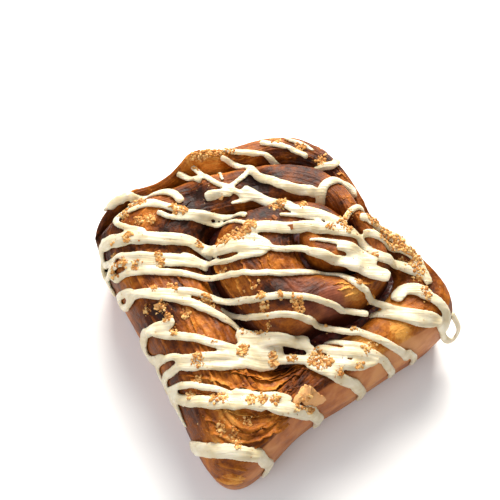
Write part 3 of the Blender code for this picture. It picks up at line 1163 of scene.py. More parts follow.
class Terrain:
    """What icing and crumbs lie on: the baked pieces and the icing piped so far."""

    def __init__(self, pieces: list[Piece], cell: float = 0.5) -> None:
        """Gather the surface.

        Args:
            pieces: Objects whose meshes are the ground.
            cell: Fineness of the map of icing heights, in millimetres.
        """
        points: list[Vector] = []
        faces: Faces = []
        for piece in pieces:
            start = len(points)
            points += [v.co / MM for v in piece.data.vertices]
            faces += [tuple(start + k for k in p.vertices) for p in piece.data.polygons]
        self.tree = BVHTree.FromPolygons(points, faces)
        self.cell = cell
        self.axis = np.arange(-70.0, 70.0, cell)
        self.pile = np.full((len(self.axis),) * 2, -1.0)

    def drop(self, x: float, y: float) -> tuple[float, Vector] | None:
        """Find the height and normal of the ground below a point, or None beyond the roll."""
        spot, normal, _, _ = self.tree.ray_cast(Vector((x, y, 90.0)), Vector((0.0, 0.0, -1.0)))
        return None if spot is None or normal is None else (spot.z, normal)

    def nearest(self, point: Vector) -> tuple[Vector, Vector]:
        """Find the ground's closest point and its normal."""
        spot, normal, _, _ = self.tree.find_nearest(point)
        return spot, normal

    def piled(self, x: float, y: float) -> float:
        """Height of the icing piped so far at a point, or -1 where there is none."""
        i, j = (int(round((c + 70.0) / self.cell)) for c in (x, y))
        return float(self.pile[i, j]) if 0 <= min(i, j) and max(i, j) < len(self.axis) else -1.0

    def heap(self, centre: Array, reach: float, rise: float) -> None:
        """Record a piece of icing.

        Args:
            centre: Its middle.
            reach: Half its width.
            rise: Half its height.
        """
        low = np.searchsorted(self.axis, centre[:2] - reach)
        high = np.searchsorted(self.axis, centre[:2] + reach)
        x, y = (self.axis[low[k] : high[k]] - centre[k] for k in (0, 1))
        far = (x[:, None] ** 2 + y[None, :] ** 2) / reach**2
        top = centre[2] + rise * np.sqrt(np.clip(1.0 - far, 0.0, 1.0))
        block = self.pile[low[0] : high[0], low[1] : high[1]]
        np.maximum(block, np.where(far < 1.0, top, -1.0), out=block)


@dataclass(frozen=True)
class Stroke:
    """One pass of the piping bag.

    Attributes:
        route: Waypoints in millimetres on axes turned to the piping: along the strokes, away from
            the near side, and a height where the icing hangs on the roll's side.
        width: Width of the icing.
        end_width: Width at its end, if that differs.
        level: Height that it keeps where the ground under it is lower.
        clear: Whether its waypoints with a height hang clear of the roll's side.
    """

    route: tuple[tuple[float, ...], ...]
    width: float = 3.2
    end_width: float | None = None
    level: float = 0.0
    clear: bool = False


@dataclass
class Icing:
    """Cream icing piped in a zigzag, in millimetres."""

    turned: float = math.radians(33.0)  # the strokes' direction from the frame's X, clockwise
    middle: tuple[float, float] = (0.7, 0.3)  # where the strokes' axes cross, in the frame
    step: float = 0.6
    sides: int = 12
    voxel: float = 0.5
    sag: float = 0.022  # how far a bridging stroke bends down at each step
    settle: int = 400  # rounds in which bridges find their level
    pile_share: float = 0.45  # of a stroke's width: how far it sinks into icing that it crosses
    # Rounding of a stroke's ends: how far out each ring lies and how wide it is, as shares of its reach
    caps: tuple[tuple[float, float], ...] = ((0.7275, 0.42), (0.6, 0.78))
    noise: Lattice = field(default_factory=lambda: Lattice(37))
    strokes: tuple[Stroke, ...] = (
        # The far side
        Stroke(((1.5, 52), (5.5, 51.5), (9, 50), (11.5, 48)), 1.9),
        Stroke(((-7, 50), (0, 48.5), (4, 47.5), (9.5, 45)), 2.7),
        Stroke(((-21, 43.5), (-15.5, 44.5), (-7, 44.5), (1.5, 43), (12.5, 41.5), (18, 41.5)), 2.8, 3.2),
        Stroke(((17, 41.5), (20, 42), (20.5, 44.5)), 3.6),
        Stroke(((-21, 41), (-14, 39), (-9, 33), (-4.5, 30), (0, 27.5)), 2.6, 3.8),
        Stroke(((0, 27.5), (5, 26.5), (12, 25.5)), 4.0, 4.6),
        Stroke(((14.5, 21.5), (15, 26), (17.5, 29), (21.5, 31), (25, 31.5), (27, 29.5)), 4.0, 3.4),
        Stroke(((-17.5, 25.5), (-14.5, 28.5), (-12, 32), (-10.5, 35)), 2.3),
        Stroke(((-36, 34.5), (-32, 31.5), (-28, 29.5)), 3.0),
        Stroke(((-31, 36.5), (-26, 30.5), (-22.5, 27.5), (-18.5, 26), (-13.5, 23.5), (-10.5, 22.5)), 2.6),
        Stroke(((-22, 36), (-20, 29)), 1.6), Stroke(((-24, 22), (-21, 23), (-17.5, 23.5)), 4.4, 3.6),
        Stroke(((-11.5, 25), (-5, 22), (-1, 20), (4, 17)), 4.4, 3.8),
        Stroke(((2, 17.5), (6, 16), (12, 15), (16, 13.5), (21.5, 11)), 3.4, 4.0),
        Stroke(((-15.5, 20), (-12.5, 21), (-9.5, 22)), 2.4),
        Stroke(((1, 13.5), (5.5, 13.5), (10, 13), (14, 11.5)), 1.9),
        # The left part of the upper turns
        Stroke(((-34, 20), (-37.5, 23), (-43.5, 24), (-49.5, 25), (-54.5, 24.5)), 3.6, 4.2),
        Stroke(((-53.5, 24.5), (-58, 22.5), (-60.5, 20, 32)), 4.4, 3.2),
        Stroke(((-46.5, 21.5), (-51, 20.5), (-56, 20), (-58.5, 18.5)), 3.2, 2.6),
        Stroke(
            ((-39, 16.5), (-45, 17), (-50.5, 15.5), (-54.5, 13.5), (-55.5, 11.5), (-53, 9.5), (-49, 8),
             (-45, 7)),
            2.5,
        ),
        Stroke(
            ((-45, 18.5), (-39.5, 17), (-35, 16), (-30, 15), (-20, 15.5), (-15.5, 15), (-11, 13)), 3.1, 2.6
        ),
        Stroke(((-40.5, 14), (-37.5, 13), (-29, 13), (-19.5, 12.5), (-14.5, 11), (-10, 9.5)), 2.4, 2.0),
        # The broad band behind the heart, and its arm to the right
        Stroke(((-9.5, 7.5), (-3, 8.5), (4, 8.5), (12, 9), (20, 8.5)), 5.0, 4.4),
        Stroke(((20, 8.5), (26, 7.5), (30.5, 4.5), (34.5, 1.5), (39, 2), (43.5, 3), (50.5, 0.5)), 4.6, 4.0),
        # The wide band on the left and its loop
        Stroke(
            ((-60.5, -2.5, 20), (-62.5, 0.5, 21), (-63, 3, 22), (-63, 5.5, 26), (-60, 7.5, 30)), 4.2, 4.0
        ),
        Stroke(((-59, 6.5), (-53.5, 5), (-44, 4.5), (-33.5, 5), (-28.5, 4.5), (-22, 3)), 5.4, 4.6),
        Stroke(((-24, 3.5), (-18, 1), (-13, 0.5), (-8, 0.5), (-5, 0.5)), 4.4, 4.2),
        Stroke(
            ((-16, 3), (-9, 4), (-5, 3.5), (-2.5, 1.5), (-4.5, -1.5), (-8, -2.5), (-15, -3.5), (-19, -2.5),
             (-23, -1.5), (-31, 0)),
            2.5,
        ),
        Stroke(
            ((-60, 2.5, 23), (-57, 0.5), (-48.5, -1.5), (-38, -1.5), (-28.5, -1), (-23.5, -2)), 3.4, 2.8
        ),
        Stroke(((-56, -2.5), (-50, -4), (-39.5, -4), (-28.5, -3), (-23.5, -3)), 2.7),
        Stroke(
            ((-58.5, -1, 22), (-54, -6), (-49.5, -7), (-37.5, -7), (-28, -7), (-19, -7.5), (-11, -8.5)),
            3.2, 2.6,
        ),
        Stroke(((-11, -8.5), (-6, -9), (-2, -8.5), (5, -7.5), (11.5, -6), (16, -5)), 2.5, 3.0),
        Stroke(
            ((16, -5), (20.5, -5.5), (25, -8), (28, -10), (33, -11), (38.5, -12.5)), 3.0, 2.8, level=30.5
        ),
        Stroke(((38, -12.5), (46.5, -13.5), (52.5, -13.5), (56, -14)), 2.7),
        Stroke(((-61, 1, 20), (-60, -2, 17), (-57.5, -4.5, 18), (-55, -6, 20)), 4.2, 3.4),
        # The arm from the loop over the heart
        Stroke(((-4, 0.5), (1.5, 0.5), (5.5, 1.5), (9.5, 1.5), (13, 0)), 2.4, 3.4, level=41.5),
        Stroke(((12, 0), (17, -1), (21, -2), (26, -3)), 3.6, 5.2, level=41.0),
        Stroke(((25, -3), (30, -4), (35.5, -5.5)), 5.2, 5.4, level=39.0),
        Stroke(((11, 4), (14, 4.5), (19.5, 4), (24, 3.5), (28, 2), (32, -1)), 1.6, 3.4, level=40.0),
        Stroke(((20.5, 2), (25, 1), (30, -2)), 2.6, 3.4, level=39.5),
        # The long strokes across the middle
        Stroke(
            ((-48.5, -12.5), (-44, -14), (-35.5, -14.5), (-26, -13.5), (-19, -14.5), (-12, -15.5)), 3.7, 2.9
        ),
        Stroke(((-12, -15.5), (-5, -16.5), (1.5, -16), (9.5, -15.5), (16, -16)), 2.9, 2.7),
        Stroke(((16, -16), (20, -16), (25, -16.5), (30, -17)), 2.7, level=33.5),
        Stroke(((-47, -12.5), (-51, -11, 27), (-52.5, -10.5, 23), (-50.5, -12.5, 22), (-47, -14, 26)), 3.2),
        Stroke(
            ((-47, -14, 27), (-43.5, -14.5), (-40.5, -15.5), (-35, -16), (-26, -17.5), (-19, -20)), 3.0, 3.6
        ),
        Stroke(((-19, -20), (-16, -21), (-12.5, -22.5), (-9, -24.5)), 3.4, 3.2),
        Stroke(((-17, -17), (-12, -18.5), (-7, -20.5), (-2, -21.5), (3, -21.5), (11.5, -21.5)), 2.5, 2.7),
        Stroke(((11, -21.5), (15.5, -21.5), (19.5, -22), (24, -22.5), (27.5, -22.5)), 2.7, level=31.0),
        Stroke(((26, -21.5), (32, -23.5), (38, -25), (42, -25), (45, -24.5)), 2.9, 3.2),
        Stroke(((44, -24.5), (47.5, -22.5, 17), (49, -21, 10), (49.5, -20.5, 6)), 3.2, 2.8),
        # The right corner
        Stroke(((41.5, -8), (43.5, -5.5), (47.5, -5), (51, -7)), 5.4, 4.6),
        Stroke(((50, -6.5), (55, -9.5), (58, -12), (58.5, -14, 21)), 4.0, 3.2),
        Stroke(((33.5, -14.5), (39.5, -15.5), (47, -16.5), (51, -16), (55, -15)), 3.3),
        Stroke(
            ((55, -15, 26), (57, -14.5, 21), (59.5, -14, 14), (62.5, -13.5, 11), (64, -12, 13),
             (63.5, -11.5, 18), (60.5, -10, 23)),
            3.0,
            clear=True,
        ),
        # The pool in front of the heart and the strokes that run into it
        Stroke(((-32, -24), (-35.5, -25), (-39, -25.5), (-42, -25.5, 27), (-43, -26.5, 23)), 3.8, 4.4),
        Stroke(
            ((-43, -26, 22), (-43, -27.5, 17), (-41, -29.5, 17), (-38, -31.5, 21), (-34, -33.5)), 4.6, 3.4
        ),
        Stroke(
            ((-39.5, -26.5), (-35.5, -27.5), (-29, -28.5), (-18, -31), (-11, -32), (-7, -31.5)), 3.1, 3.4
        ),
        Stroke(
            ((-34.5, -39, 18), (-36.5, -36, 17), (-37, -34, 20), (-35.5, -33.5, 24), (-32, -34.5),
             (-27, -35.5)),
            2.8,
        ),
        Stroke(((-29, -35.5), (-24, -35.5), (-14, -34.5), (-8, -33.5)), 2.9, 3.4),
        Stroke(
            ((-33.5, -41, 17), (-33.5, -39, 20), (-32, -37.5, 24), (-26, -38), (-19, -38.5), (-12, -37.5),
             (-7, -36)),
            3.3,
        ),
        Stroke(((-10, -25.5), (-5, -26.5), (0, -26.5), (5, -27), (10.5, -27)), 4.8, level=31.0),
        Stroke(((-10, -28), (-4, -28.5), (3, -28.5), (11.5, -28.5)), 3.2, level=31.0),
        Stroke(((-10, -30.5), (-4, -31), (2.5, -31)), 4.2, level=31.0),
        Stroke(((-9, -33), (-3, -33.5), (2, -33.5), (7, -33), (13, -33)), 3.6, level=30.5),
        Stroke(((-9, -36), (-4, -36), (1, -35)), 3.6, level=30.0),
        Stroke(((12.5, -29), (13.5, -31.5), (14, -34)), 3.2, level=30.5),
        Stroke(((18, -25), (22, -26), (26, -26.5), (30, -27)), 2.6),
        Stroke(((15.5, -28), (20.5, -29.5), (25, -29.5), (33, -29.5)), 3.8),
        Stroke(((31.5, -28.5), (35, -29), (38.5, -28.5, 20), (40.5, -28, 15), (41.5, -27, 9)), 3.4, 3.0),
        Stroke(
            ((12, -32.5), (16.5, -33), (22, -33.5), (26.5, -33), (30.5, -32), (33, -30.5)), 3.8, level=28.0
        ),
        Stroke(((13, -35), (17, -36), (20.5, -37), (25, -37), (28.5, -36, 19)), 4.4, 4.2),
        Stroke(((28, -36, 20), (30.5, -34.5, 12), (31, -34, 5)), 4.2, 3.4),
        # The near corner
        Stroke(
            ((-33, -41.5, 18), (-31, -42), (-27.5, -43), (-19.5, -44.5), (-12.5, -46), (-8, -47)), 3.2, 2.2
        ),
        Stroke(((-10, -45.5), (-6.5, -46), (2.5, -46), (6, -46)), 3.0),
        Stroke(
            ((-31, -43.5, 19), (-28, -45.5), (-24, -48), (-19.5, -49), (-10, -49.5), (-0.5, -49)), 4.0, 4.6
        ),
        Stroke(((-1, -49), (4, -49.5), (8, -49), (12.5, -47.5)), 4.6, 5.2),
        Stroke(((12, -47.5), (15.5, -46, 17), (16.5, -45, 11), (16.5, -45, 6)), 4.8, 3.8),
        Stroke(((-31, -44.5, 19), (-29, -47.5, 21), (-27.5, -50, 20), (-26, -53, 20)), 4.2, 1.6),
        Stroke(
            ((-22, -59, 19), (-18, -61), (-14, -62), (-10.5, -62.5), (-6.5, -63), (-3, -62.5)), 5.4, 4.6
        ),
        Stroke(((-4, -62.5), (0, -61.5, 17), (0.5, -61.5, 11), (0, -62, 5)), 4.4, 3.6),
        # The far right edge
        Stroke(((22, 12), (24, 16.5), (27, 19), (30.5, 18.5), (32, 16), (31, 13)), 2.6),
        Stroke(((28.5, 15), (34.5, 15), (39, 13.5), (43, 11.5), (45, 8.5)), 3.6, 4.4),
        Stroke(((45.5, 9), (48.5, 5), (50, 1), (51.5, -2)), 3.4),
        Stroke(((30, 10), (35, 8.5), (40, 9), (45.5, 7.5), (48, 5.5), (48, 3.5)), 3.4, 3.0),
    )

    def to_frame(self, x: float, y: float) -> tuple[float, float]:
        """Turn a point from the piping's axes to the frame's."""
        c, s = math.cos(self.turned), math.sin(self.turned)
        return self.middle[0] + c * x + s * y, self.middle[1] + c * y - s * x

    def curve(self, stroke: Stroke, ground: Terrain) -> Array:
        """Draw a smooth curve through a stroke's waypoints.

        Args:
            stroke: The stroke.
            ground: What it lies on.

        Returns:
            Array (n, 4): the points, and 1 where the icing hangs on the roll's side.
        """
        knots = []
        for x, y, *height in stroke.route:
            x, y = self.to_frame(x, y)
            if height:
                knots.append((x, y, height[0], 1.0))
            else:
                found = ground.drop(x, y)
                knots.append((x, y, found[0] if found else 20.0, 0.0))
        knots = np.array(knots)
        knots = np.vstack([2 * knots[0] - knots[1], knots, 2 * knots[-1] - knots[-2]])
        samples = []
        for a, b, c, d in zip(knots, knots[1:], knots[2:], knots[3:]):
            count = max(2, math.ceil(np.linalg.norm((c - b)[:3]) / self.step))
            t = (np.arange(count) / count)[:, None]
            second, third = 2 * a - 5 * b + 4 * c - d, 3 * b - a - 3 * c + d
            samples.append(0.5 * (2 * b + (c - a) * t + second * t**2 + third * t**3))
        return np.vstack([*samples, knots[-2:-1]])

    def path(self, stroke: Stroke, ground: Terrain) -> tuple[Array, Array]:
        """Lay a stroke on the ground.

        Args:
            stroke: The stroke.
            ground: What it lies on.

        Returns:
            Arrays (n, 3): the points below the icing's middle, and the ground's normals there.
        """
        low, normals, free = [], [], []
        for x, y, z, hang in self.curve(stroke, ground):
            found = ground.drop(x, y)
            if hang < 0.5 and found:
                pile = ground.piled(x, y) - self.pile_share * stroke.width
                height = max(found[0], stroke.level, pile)
                low.append((x, y, height))
                normals.append(found[1] if height < found[0] + 0.4 else Vector((0.0, 0.0, 1.0)))
                free.append(True)
            else:
                spot, normal = ground.nearest(Vector((x, y, z)))
                low.append((x, y, z) if stroke.clear else spot)
                normals.append(normal)
                free.append(False)
        low, normals, free = np.array(low), np.array(normals), np.array(free)
        floor = low[:, 2].copy()
        for _ in range(self.settle):
            mean = 0.5 * (low[:-2, 2] + low[2:, 2]) - self.sag
            low[1:-1, 2] = np.where(free[1:-1], np.maximum(floor[1:-1], mean), low[1:-1, 2])
        for _ in range(4):
            low[1:-1] = 0.5 * low[1:-1] + 0.25 * (low[:-2] + low[2:])
            normals[1:-1] = 0.5 * normals[1:-1] + 0.25 * (normals[:-2] + normals[2:])
        lifted = ((low[:, 2] - floor) > 0.4) & free
        normals[lifted] = 0.3 * normals[lifted] + np.array([0.0, 0.0, 0.7])
        for _ in range(3):
            normals[1:-1] = 0.5 * normals[1:-1] + 0.25 * (normals[:-2] + normals[2:])
        normals /= np.linalg.norm(normals, axis=1, keepdims=True) + 1e-9
        return low, normals

    def section(self, stroke: Stroke, number: int, count: int) -> tuple[Array, Array, Array]:
        """Size a stroke's section along its length.

        Args:
            stroke: The stroke.
            number: Its number, which varies its unevenness.
            count: Points along it.

        Returns:
            At each point half its width, half its height, and how far it strays sideways.
        """
        run = np.arange(count) * self.step
        ends = (stroke.width, stroke.end_width or stroke.width)
        width = np.interp(np.arange(count) / (count - 1), (0.0, 1.0), ends)
        uneven = self.noise.at(run / 6.0, number * 3.7, 0.5)
        fine = self.noise.at(run / 2.2, number * 5.1, 8.5)
        width = width * (1.0 + 0.05 * uneven + 0.025 * fine)
        # Wider icing is flatter, because it spreads where it lies
        rise = 0.26 * np.minimum(width, 3.0) + 0.10 * np.maximum(width - 3.0, 0.0)
        return 0.5 * width, rise, 0.12 * self.noise.at(run / 4.0, number * 2.3, 15.5)

    def tube(self, stroke: Stroke, number: int, ground: Terrain) -> tuple[Array, Faces]:
        """Shape a stroke as a closed tube, flattened where it lies.

        Args:
            stroke: The stroke.
            number: Its number, which varies its unevenness.
            ground: What it lies on; the icing is added to it.

        Returns:
            Points in millimetres and faces.
        """
        low, normals = self.path(stroke, ground)
        along = np.gradient(low, axis=0)
        along /= np.linalg.norm(along, axis=1, keepdims=True) + 1e-9
        up = normals - along * np.sum(normals * along, axis=1, keepdims=True)
        up /= np.linalg.norm(up, axis=1, keepdims=True) + 1e-9
        side = np.cross(along, up)
        count = len(low)
        reach, rise, shift = self.section(stroke, number, count)
        centre = low + up * (rise * 0.72)[:, None] + side * shift[:, None]
        for place, half, high in zip(centre[::2], reach[::2], rise[::2]):
            ground.heap(place, half, high)

        first = [centre[0] - along[0] * reach[0] * out for out, _ in self.caps]
        last = [centre[-1] + along[-1] * reach[-1] * out for out, _ in reversed(self.caps)]
        centre = np.vstack([*first, centre, *last])
        taper = [size for _, size in self.caps]
        scale = np.concatenate([taper, np.ones(count), taper[::-1]])
        pad = len(self.caps)
        side, up = (np.pad(a, ((pad, pad), (0, 0)), mode="edge") for a in (side, up))
        reach, rise = (np.pad(a, pad, mode="edge") * scale for a in (reach, rise))
        swing = math.tau * np.arange(self.sides) / self.sides
        x, z = np.cos(swing), np.sin(swing)
        z = np.where(z < 0.0, 0.75 * z, z)
        ring = (
            centre[:, None, :]
            + side[:, None, :] * (reach[:, None] * x[None, :])[..., None]
            + up[:, None, :] * (rise[:, None] * z[None, :])[..., None]
        )
        faces = tube_faces(np.arange(ring.size // 3).reshape(ring.shape[:2]))
        return ring.reshape(-1, 3), faces

    def build(self, ground: Terrain) -> Piece:
        """Pipe all the strokes and melt them into one piece.

        Args:
            ground: What they lie on.

        Returns:
            The object, not yet dressed.
        """
        points: list[Array] = []
        faces: Faces = []
        start = 0
        for number, stroke in enumerate(self.strokes):
            more, sides = self.tube(stroke, number, ground)
            points.append(more)
            faces += [tuple(start + k for k in face) for face in sides]
            start += len(more)
        piece = make_mesh("cream_icing", np.concatenate(points), faces)
        face_outwards(piece)
        melt = piece.modifiers.new("melt", "REMESH")
        melt.mode = "VOXEL"
        melt.voxel_size = self.voxel * MM
        melt.use_smooth_shade = True
        even = piece.modifiers.new("even", "SMOOTH")
        even.factor = 0.5
        even.iterations = 5
        freeze(piece)
        return piece

    def dress(self, piece: Piece) -> None:
        """Give the icing its cream."""
        finish_piece(piece, CreamIcing().material())


class Bit(enum.Enum):
    """Kinds of loose bit scattered on the roll."""

    CRUMB = "crumb"
    FLAKE = "flake"


@dataclass
class Scatter:
    """Bits strewn over the finished roll with a Geometry Nodes tree, then made a plain mesh.

    Sizes are in millimetres.
    """

    name: str
    bit: Bit
    attribute: str
    per_square_mm: float
    size: tuple[float, float]
    seed: int
    rough: float = 0.5  # how irregular each bit is, as a share of its size

    def tree(self, material: Finish) -> Tree:
        """Build the node tree.

        Args:
            material: The bits' finish; not used here.

        Returns:
            The tree, with its named inputs.
        """
        tree = bpy.data.node_groups.new(self.name, "GeometryNodeTree")
        face = tree.interface
        numbers = dict.fromkeys(("Density", "Smallest", "Largest", "Roughness"), "Float")
        kinds = {"Geometry": "Geometry", **numbers, "Seed": "Int", "Material": "Material"}
        for label, kind in kinds.items():
            face.new_socket(label, in_out="INPUT", socket_type=f"NodeSocket{kind}")
        face.new_socket("Geometry", in_out="OUTPUT", socket_type="NodeSocketGeometry")
        source = add_node(tree, "NodeGroupInput").outputs
        weight = add_node(
            tree, "GeometryNodeInputNamedAttribute", {"Name": self.attribute}, data_type="FLOAT"
        )
        density = add_node(
            tree,
            "ShaderNodeMath",
            {0: weight.outputs["Attribute"], 1: source["Density"]},
            operation="MULTIPLY",
        )
        spots = add_node(
            tree,
            "GeometryNodeDistributePointsOnFaces",
            {"Mesh": source["Geometry"], "Density": density.outputs[0], "Seed": source["Seed"]},
        )
        if self.bit is Bit.CRUMB:
            shape = add_node(tree, "GeometryNodeMeshIcoSphere", {"Radius": 0.5, "Subdivisions": 1})
            spin = add_node(
                tree,
                "FunctionNodeRandomValue",
                {"Min": (0.0, 0.0, 0.0), "Max": (math.tau,) * 3, "Seed": source["Seed"]},
                data_type="FLOAT_VECTOR",
            ).outputs["Value"]
        else:
            shape = add_node(tree, "GeometryNodeMeshCube", {"Size": (1.0, 0.75, 0.09), 1: 5, 2: 4, 3: 2})
            tilt = add_node(
                tree,
                "FunctionNodeRandomValue",
                {"Min": (-0.5, -0.5, 0.0), "Max": (0.5, 0.5, math.tau), "Seed": source["Seed"]},
                data_type="FLOAT_VECTOR",
            )
            spin = add_node(
                tree,
                "FunctionNodeRotateRotation",
                {"Rotation": spots.outputs["Rotation"], "Rotate By": tilt.outputs["Value"]},
                rotation_space="LOCAL",
            ).outputs["Rotation"]
        chance = add_node(tree, "FunctionNodeRandomValue", {"Seed": source["Seed"]}, data_type="FLOAT")
        bias = add_node(tree, "ShaderNodeMath", {0: chance.outputs[1], 1: 2.2}, operation="POWER")
        scale = add_node(
            tree,
            "ShaderNodeMapRange",
            {"Value": bias.outputs[0], "To Min": source["Smallest"], "To Max": source["Largest"]},
        )
        placed = add_node(
            tree,
            "GeometryNodeInstanceOnPoints",
            {
                "Points": spots.outputs["Points"],
                "Instance": shape.outputs["Mesh"],
                "Rotation": spin,
                "Scale": scale.outputs["Result"],
            },
        )
        tone = add_node(tree, "FunctionNodeRandomValue", {"Seed": 7}, data_type="FLOAT")
        toned = add_node(
            tree,
            "GeometryNodeStoreNamedAttribute",
            {"Geometry": placed.outputs["Instances"], "Name": "tone", "Value": tone.outputs[1]},
            data_type="FLOAT",
            domain="INSTANCE",
        )
        real = add_node(tree, "GeometryNodeRealizeInstances", {0: toned.outputs["Geometry"]})
        noise = add_node(
            tree,
            "ShaderNodeTexNoise",
            {"Scale": cells(0.9 * self.size[1]), "Detail": 1.0},
            noise_dimensions="3D",
        )
        centred = add_node(
            tree,
            "ShaderNodeVectorMath",
            {0: noise.outputs["Color"], 1: (0.5, 0.5, 0.5)},
            operation="SUBTRACT",
        )
        push = add_node(
            tree,
            "ShaderNodeVectorMath",
            {0: centred.outputs["Vector"], "Scale": source["Roughness"]},
            operation="SCALE",
        )
        shape = real.outputs["Geometry"]
        for kind, inputs in (
            ("GeometryNodeSetPosition", {"Offset": push.outputs["Vector"]}),
            ("GeometryNodeSetShadeSmooth", {"Shade Smooth": False}),
            ("GeometryNodeSetMaterial", {"Material": source["Material"]}),
        ):
            shape = add_node(tree, kind, {"Geometry": shape, **inputs}).outputs["Geometry"]
        add_node(tree, "NodeGroupOutput", {"Geometry": shape})
        return tree

    def build(self, blanket: Piece, material: Finish) -> Piece:
        """Strew the bits over a blanket laid on the roll.

        Args:
            blanket: A mesh draped over the roll, with the attribute that sets the density.
            material: The bits' finish.

        Returns:
            The object, dressed.
        """
        piece = add_object(self.name, blanket.data.copy())
        piece.data.name = self.name
        modifier = piece.modifiers.new(self.name, "NODES")
        modifier.node_group = self.tree(material)
        values = {
            "Density": self.per_square_mm / MM**2,
            "Smallest": self.size[0] * MM,
            "Largest": self.size[1] * MM,
            "Roughness": self.rough * self.size[1] * MM,
            "Seed": self.seed,
            "Material": material,
        }
        for item in modifier.node_group.interface.items_tree:
            if item.in_out == "INPUT" and item.name in values:
                modifier[item.identifier] = values[item.name]
        freeze(piece)
        return piece


@dataclass
class Blanket:
    """A sheet draped over the finished roll, which tells the scatters where bits lie.

    Sizes are in millimetres.
    """

    reach: tuple[float, float] = (51.0, 54.0)  # how far it goes each way across and along
    spacing: float = 0.7  # of its points
    lowest: float = 9.0  # bits stay above this on the roll's side
    steepest: float = 2.2  # rise over one space, in spaces, past which it is torn
    near_corner: tuple[float, float, float] = (-38.0, -43.0, 15.0)  # more dust: place and radius
    icing: Icing = field(default_factory=Icing)
    # Heaps of crumbs: along the strokes, away from the near side, and radius, in millimetres
    heaps: Spots = (
        # On the upper left
        (-48, 19, 2.2), (-51, 21, 1.6), (-53, 14, 1.4), (-35, 16, 1.8), (-32, 16, 1.4), (-43, 12, 1.8),
        (-47, 11, 1.6), (-50, 5, 1.3), (-50, 3, 1.1), (-18, 4, 2.0), (-14, 5, 2.2), (-11, 6, 1.8),
        (-26, 4, 1.2),
        # On the middle left
        (-39, -1, 1.6), (-38, -4, 1.6), (-54, -5, 1.8), (-51, -4, 1.5), (-46, -5, 1.5), (-56, 2, 1.3),
        (-34, -12, 1.3), (-32, -13, 1.1), (-22, -15, 1.8), (-20, -17, 1.3), (-39, -13, 1.1),
        (-36, -19, 1.8), (-34, -23, 1.4), (-28, -21, 1.4), (-41, -19, 1.2),
        # Over the heart
        (-4, -16, 1.3), (-3, -19, 1.4), (7, -17, 1.6), (8, -19, 1.4), (2, -16, 1.0), (27, -8, 1.1),
        (1, 18, 1.8), (-2, 17, 1.4), (8, 18, 1.5), (-9, 9, 1.6), (18, 9, 1.4), (22, 12, 1.8),
        (24, 16, 1.8), (23, 9, 1.6), (33, 2, 1.0), (-6, -13, 1.0), (-17, -6, 0.9),
        # On the far side
        (36, 12, 3.0), (38, 9, 2.2), (33, 15, 2.4), (41, 11, 2.4), (44, 7, 2.6), (47, 5, 2.0),
        (30, 18, 1.6), (49, 0, 1.8), (50, -6, 1.6), (51, -8, 1.2), (-23, 44, 2.4), (-26, 41, 2.6),
        (-18, 45, 1.8), (-30, 37, 2.4), (7, 49, 1.8), (-2, 51, 1.8), (15, 44, 2.0),
        # Round the pool
        (27, -21, 1.4), (17, -20, 1.3), (32, -26, 1.6), (30, -28, 1.3), (-31, -27, 1.4), (-18, -30, 1.2),
        (-23, -36, 1.6), (-22, -38, 1.3), (-9, -31, 1.3), (-9, -33, 1.2), (-9, -24, 1.5), (-5, -24, 1.7),
        (-2, -24, 1.3), (1, -32, 1.5), (1, -35, 1.3), (7, -33, 1.4), (15, -30, 1.5), (14, -33, 1.9),
        (16, -35, 1.6), (18, -33, 1.4), (22, -36, 1.2), (28, -34, 1.3),
        # The near corner
        (-24, -46, 1.3), (-22, -42, 1.3), (-14, -48, 1.8), (-17, -48, 1.4), (-5, -48, 1.8),
        (-2, -47, 1.4), (2, -47, 1.4), (12, -47, 1.8), (14, -48, 1.5), (9, -49, 1.3), (-6, -54, 1.4),
        (-14, -56, 1.6), (-10, -58, 1.6), (-8, -61, 1.2),
    )

    def build(self, ground: Terrain) -> Piece:
        """Drape the sheet.

        Args:
            ground: The finished roll.

        Returns:
            The object, with the attributes "crumbs", "dust" and "flakes".
        """
        wide, long = (np.arange(-reach, reach + 0.01, self.spacing) for reach in self.reach)
        grid = np.stack(np.meshgrid(wide, long, indexing="ij"), axis=-1)
        height = np.full(grid.shape[:2], -1.0)
        for i, j in itertools.product(range(len(wide)), range(len(long))):
            found = ground.drop(*grid[i, j])
            if found and found[0] > self.lowest:
                height[i, j] = found[0]
        points = np.concatenate([grid, height[..., None]], axis=-1)
        at = np.arange(height.size).reshape(height.shape)
        faces = []
        for i, j in itertools.product(range(len(wide) - 1), range(len(long) - 1)):
            block = height[i : i + 2, j : j + 2]
            if block.min() > 0.0 and np.ptp(block) < self.steepest * self.spacing:
                faces.append((at[i, j], at[i + 1, j], at[i + 1, j + 1], at[i, j + 1]))
        piece = make_mesh("blanket", points.reshape(-1, 3), faces)
        x, y = grid.reshape(-1, 2).T
        heaps = np.zeros(len(x))
        for across, away, radius in self.heaps:
            across, away = self.icing.to_frame(across, away)
            heaps += np.exp(-((x - across) ** 2 + (y - away) ** 2) / radius**2)
        noise = Lattice(53)
        clump = np.clip(0.6 + 1.4 * noise.at(x / 1.6, y / 1.6, 2.5), 0.0, 2.0)
        broad = np.clip(0.35 + 1.0 * noise.at(x / 11.0, y / 11.0, 8.5), 0.0, 1.0)
        heaped = np.clip(heaps, 0.0, 1.0)
        across, away, radius = self.near_corner
        corner = np.exp(-((x - across) ** 2 + (y - away) ** 2) / radius**2)
        crumbs = ease((heaped - 0.18) / 0.5) * (0.45 + 0.55 * clump)
        set_attribute(piece.data, "crumbs", crumbs)
        set_attribute(piece.data, "dust", 0.16 * broad + 0.7 * heaped + 0.5 * corner * broad)
        set_attribute(piece.data, "flakes", broad)
        return piece


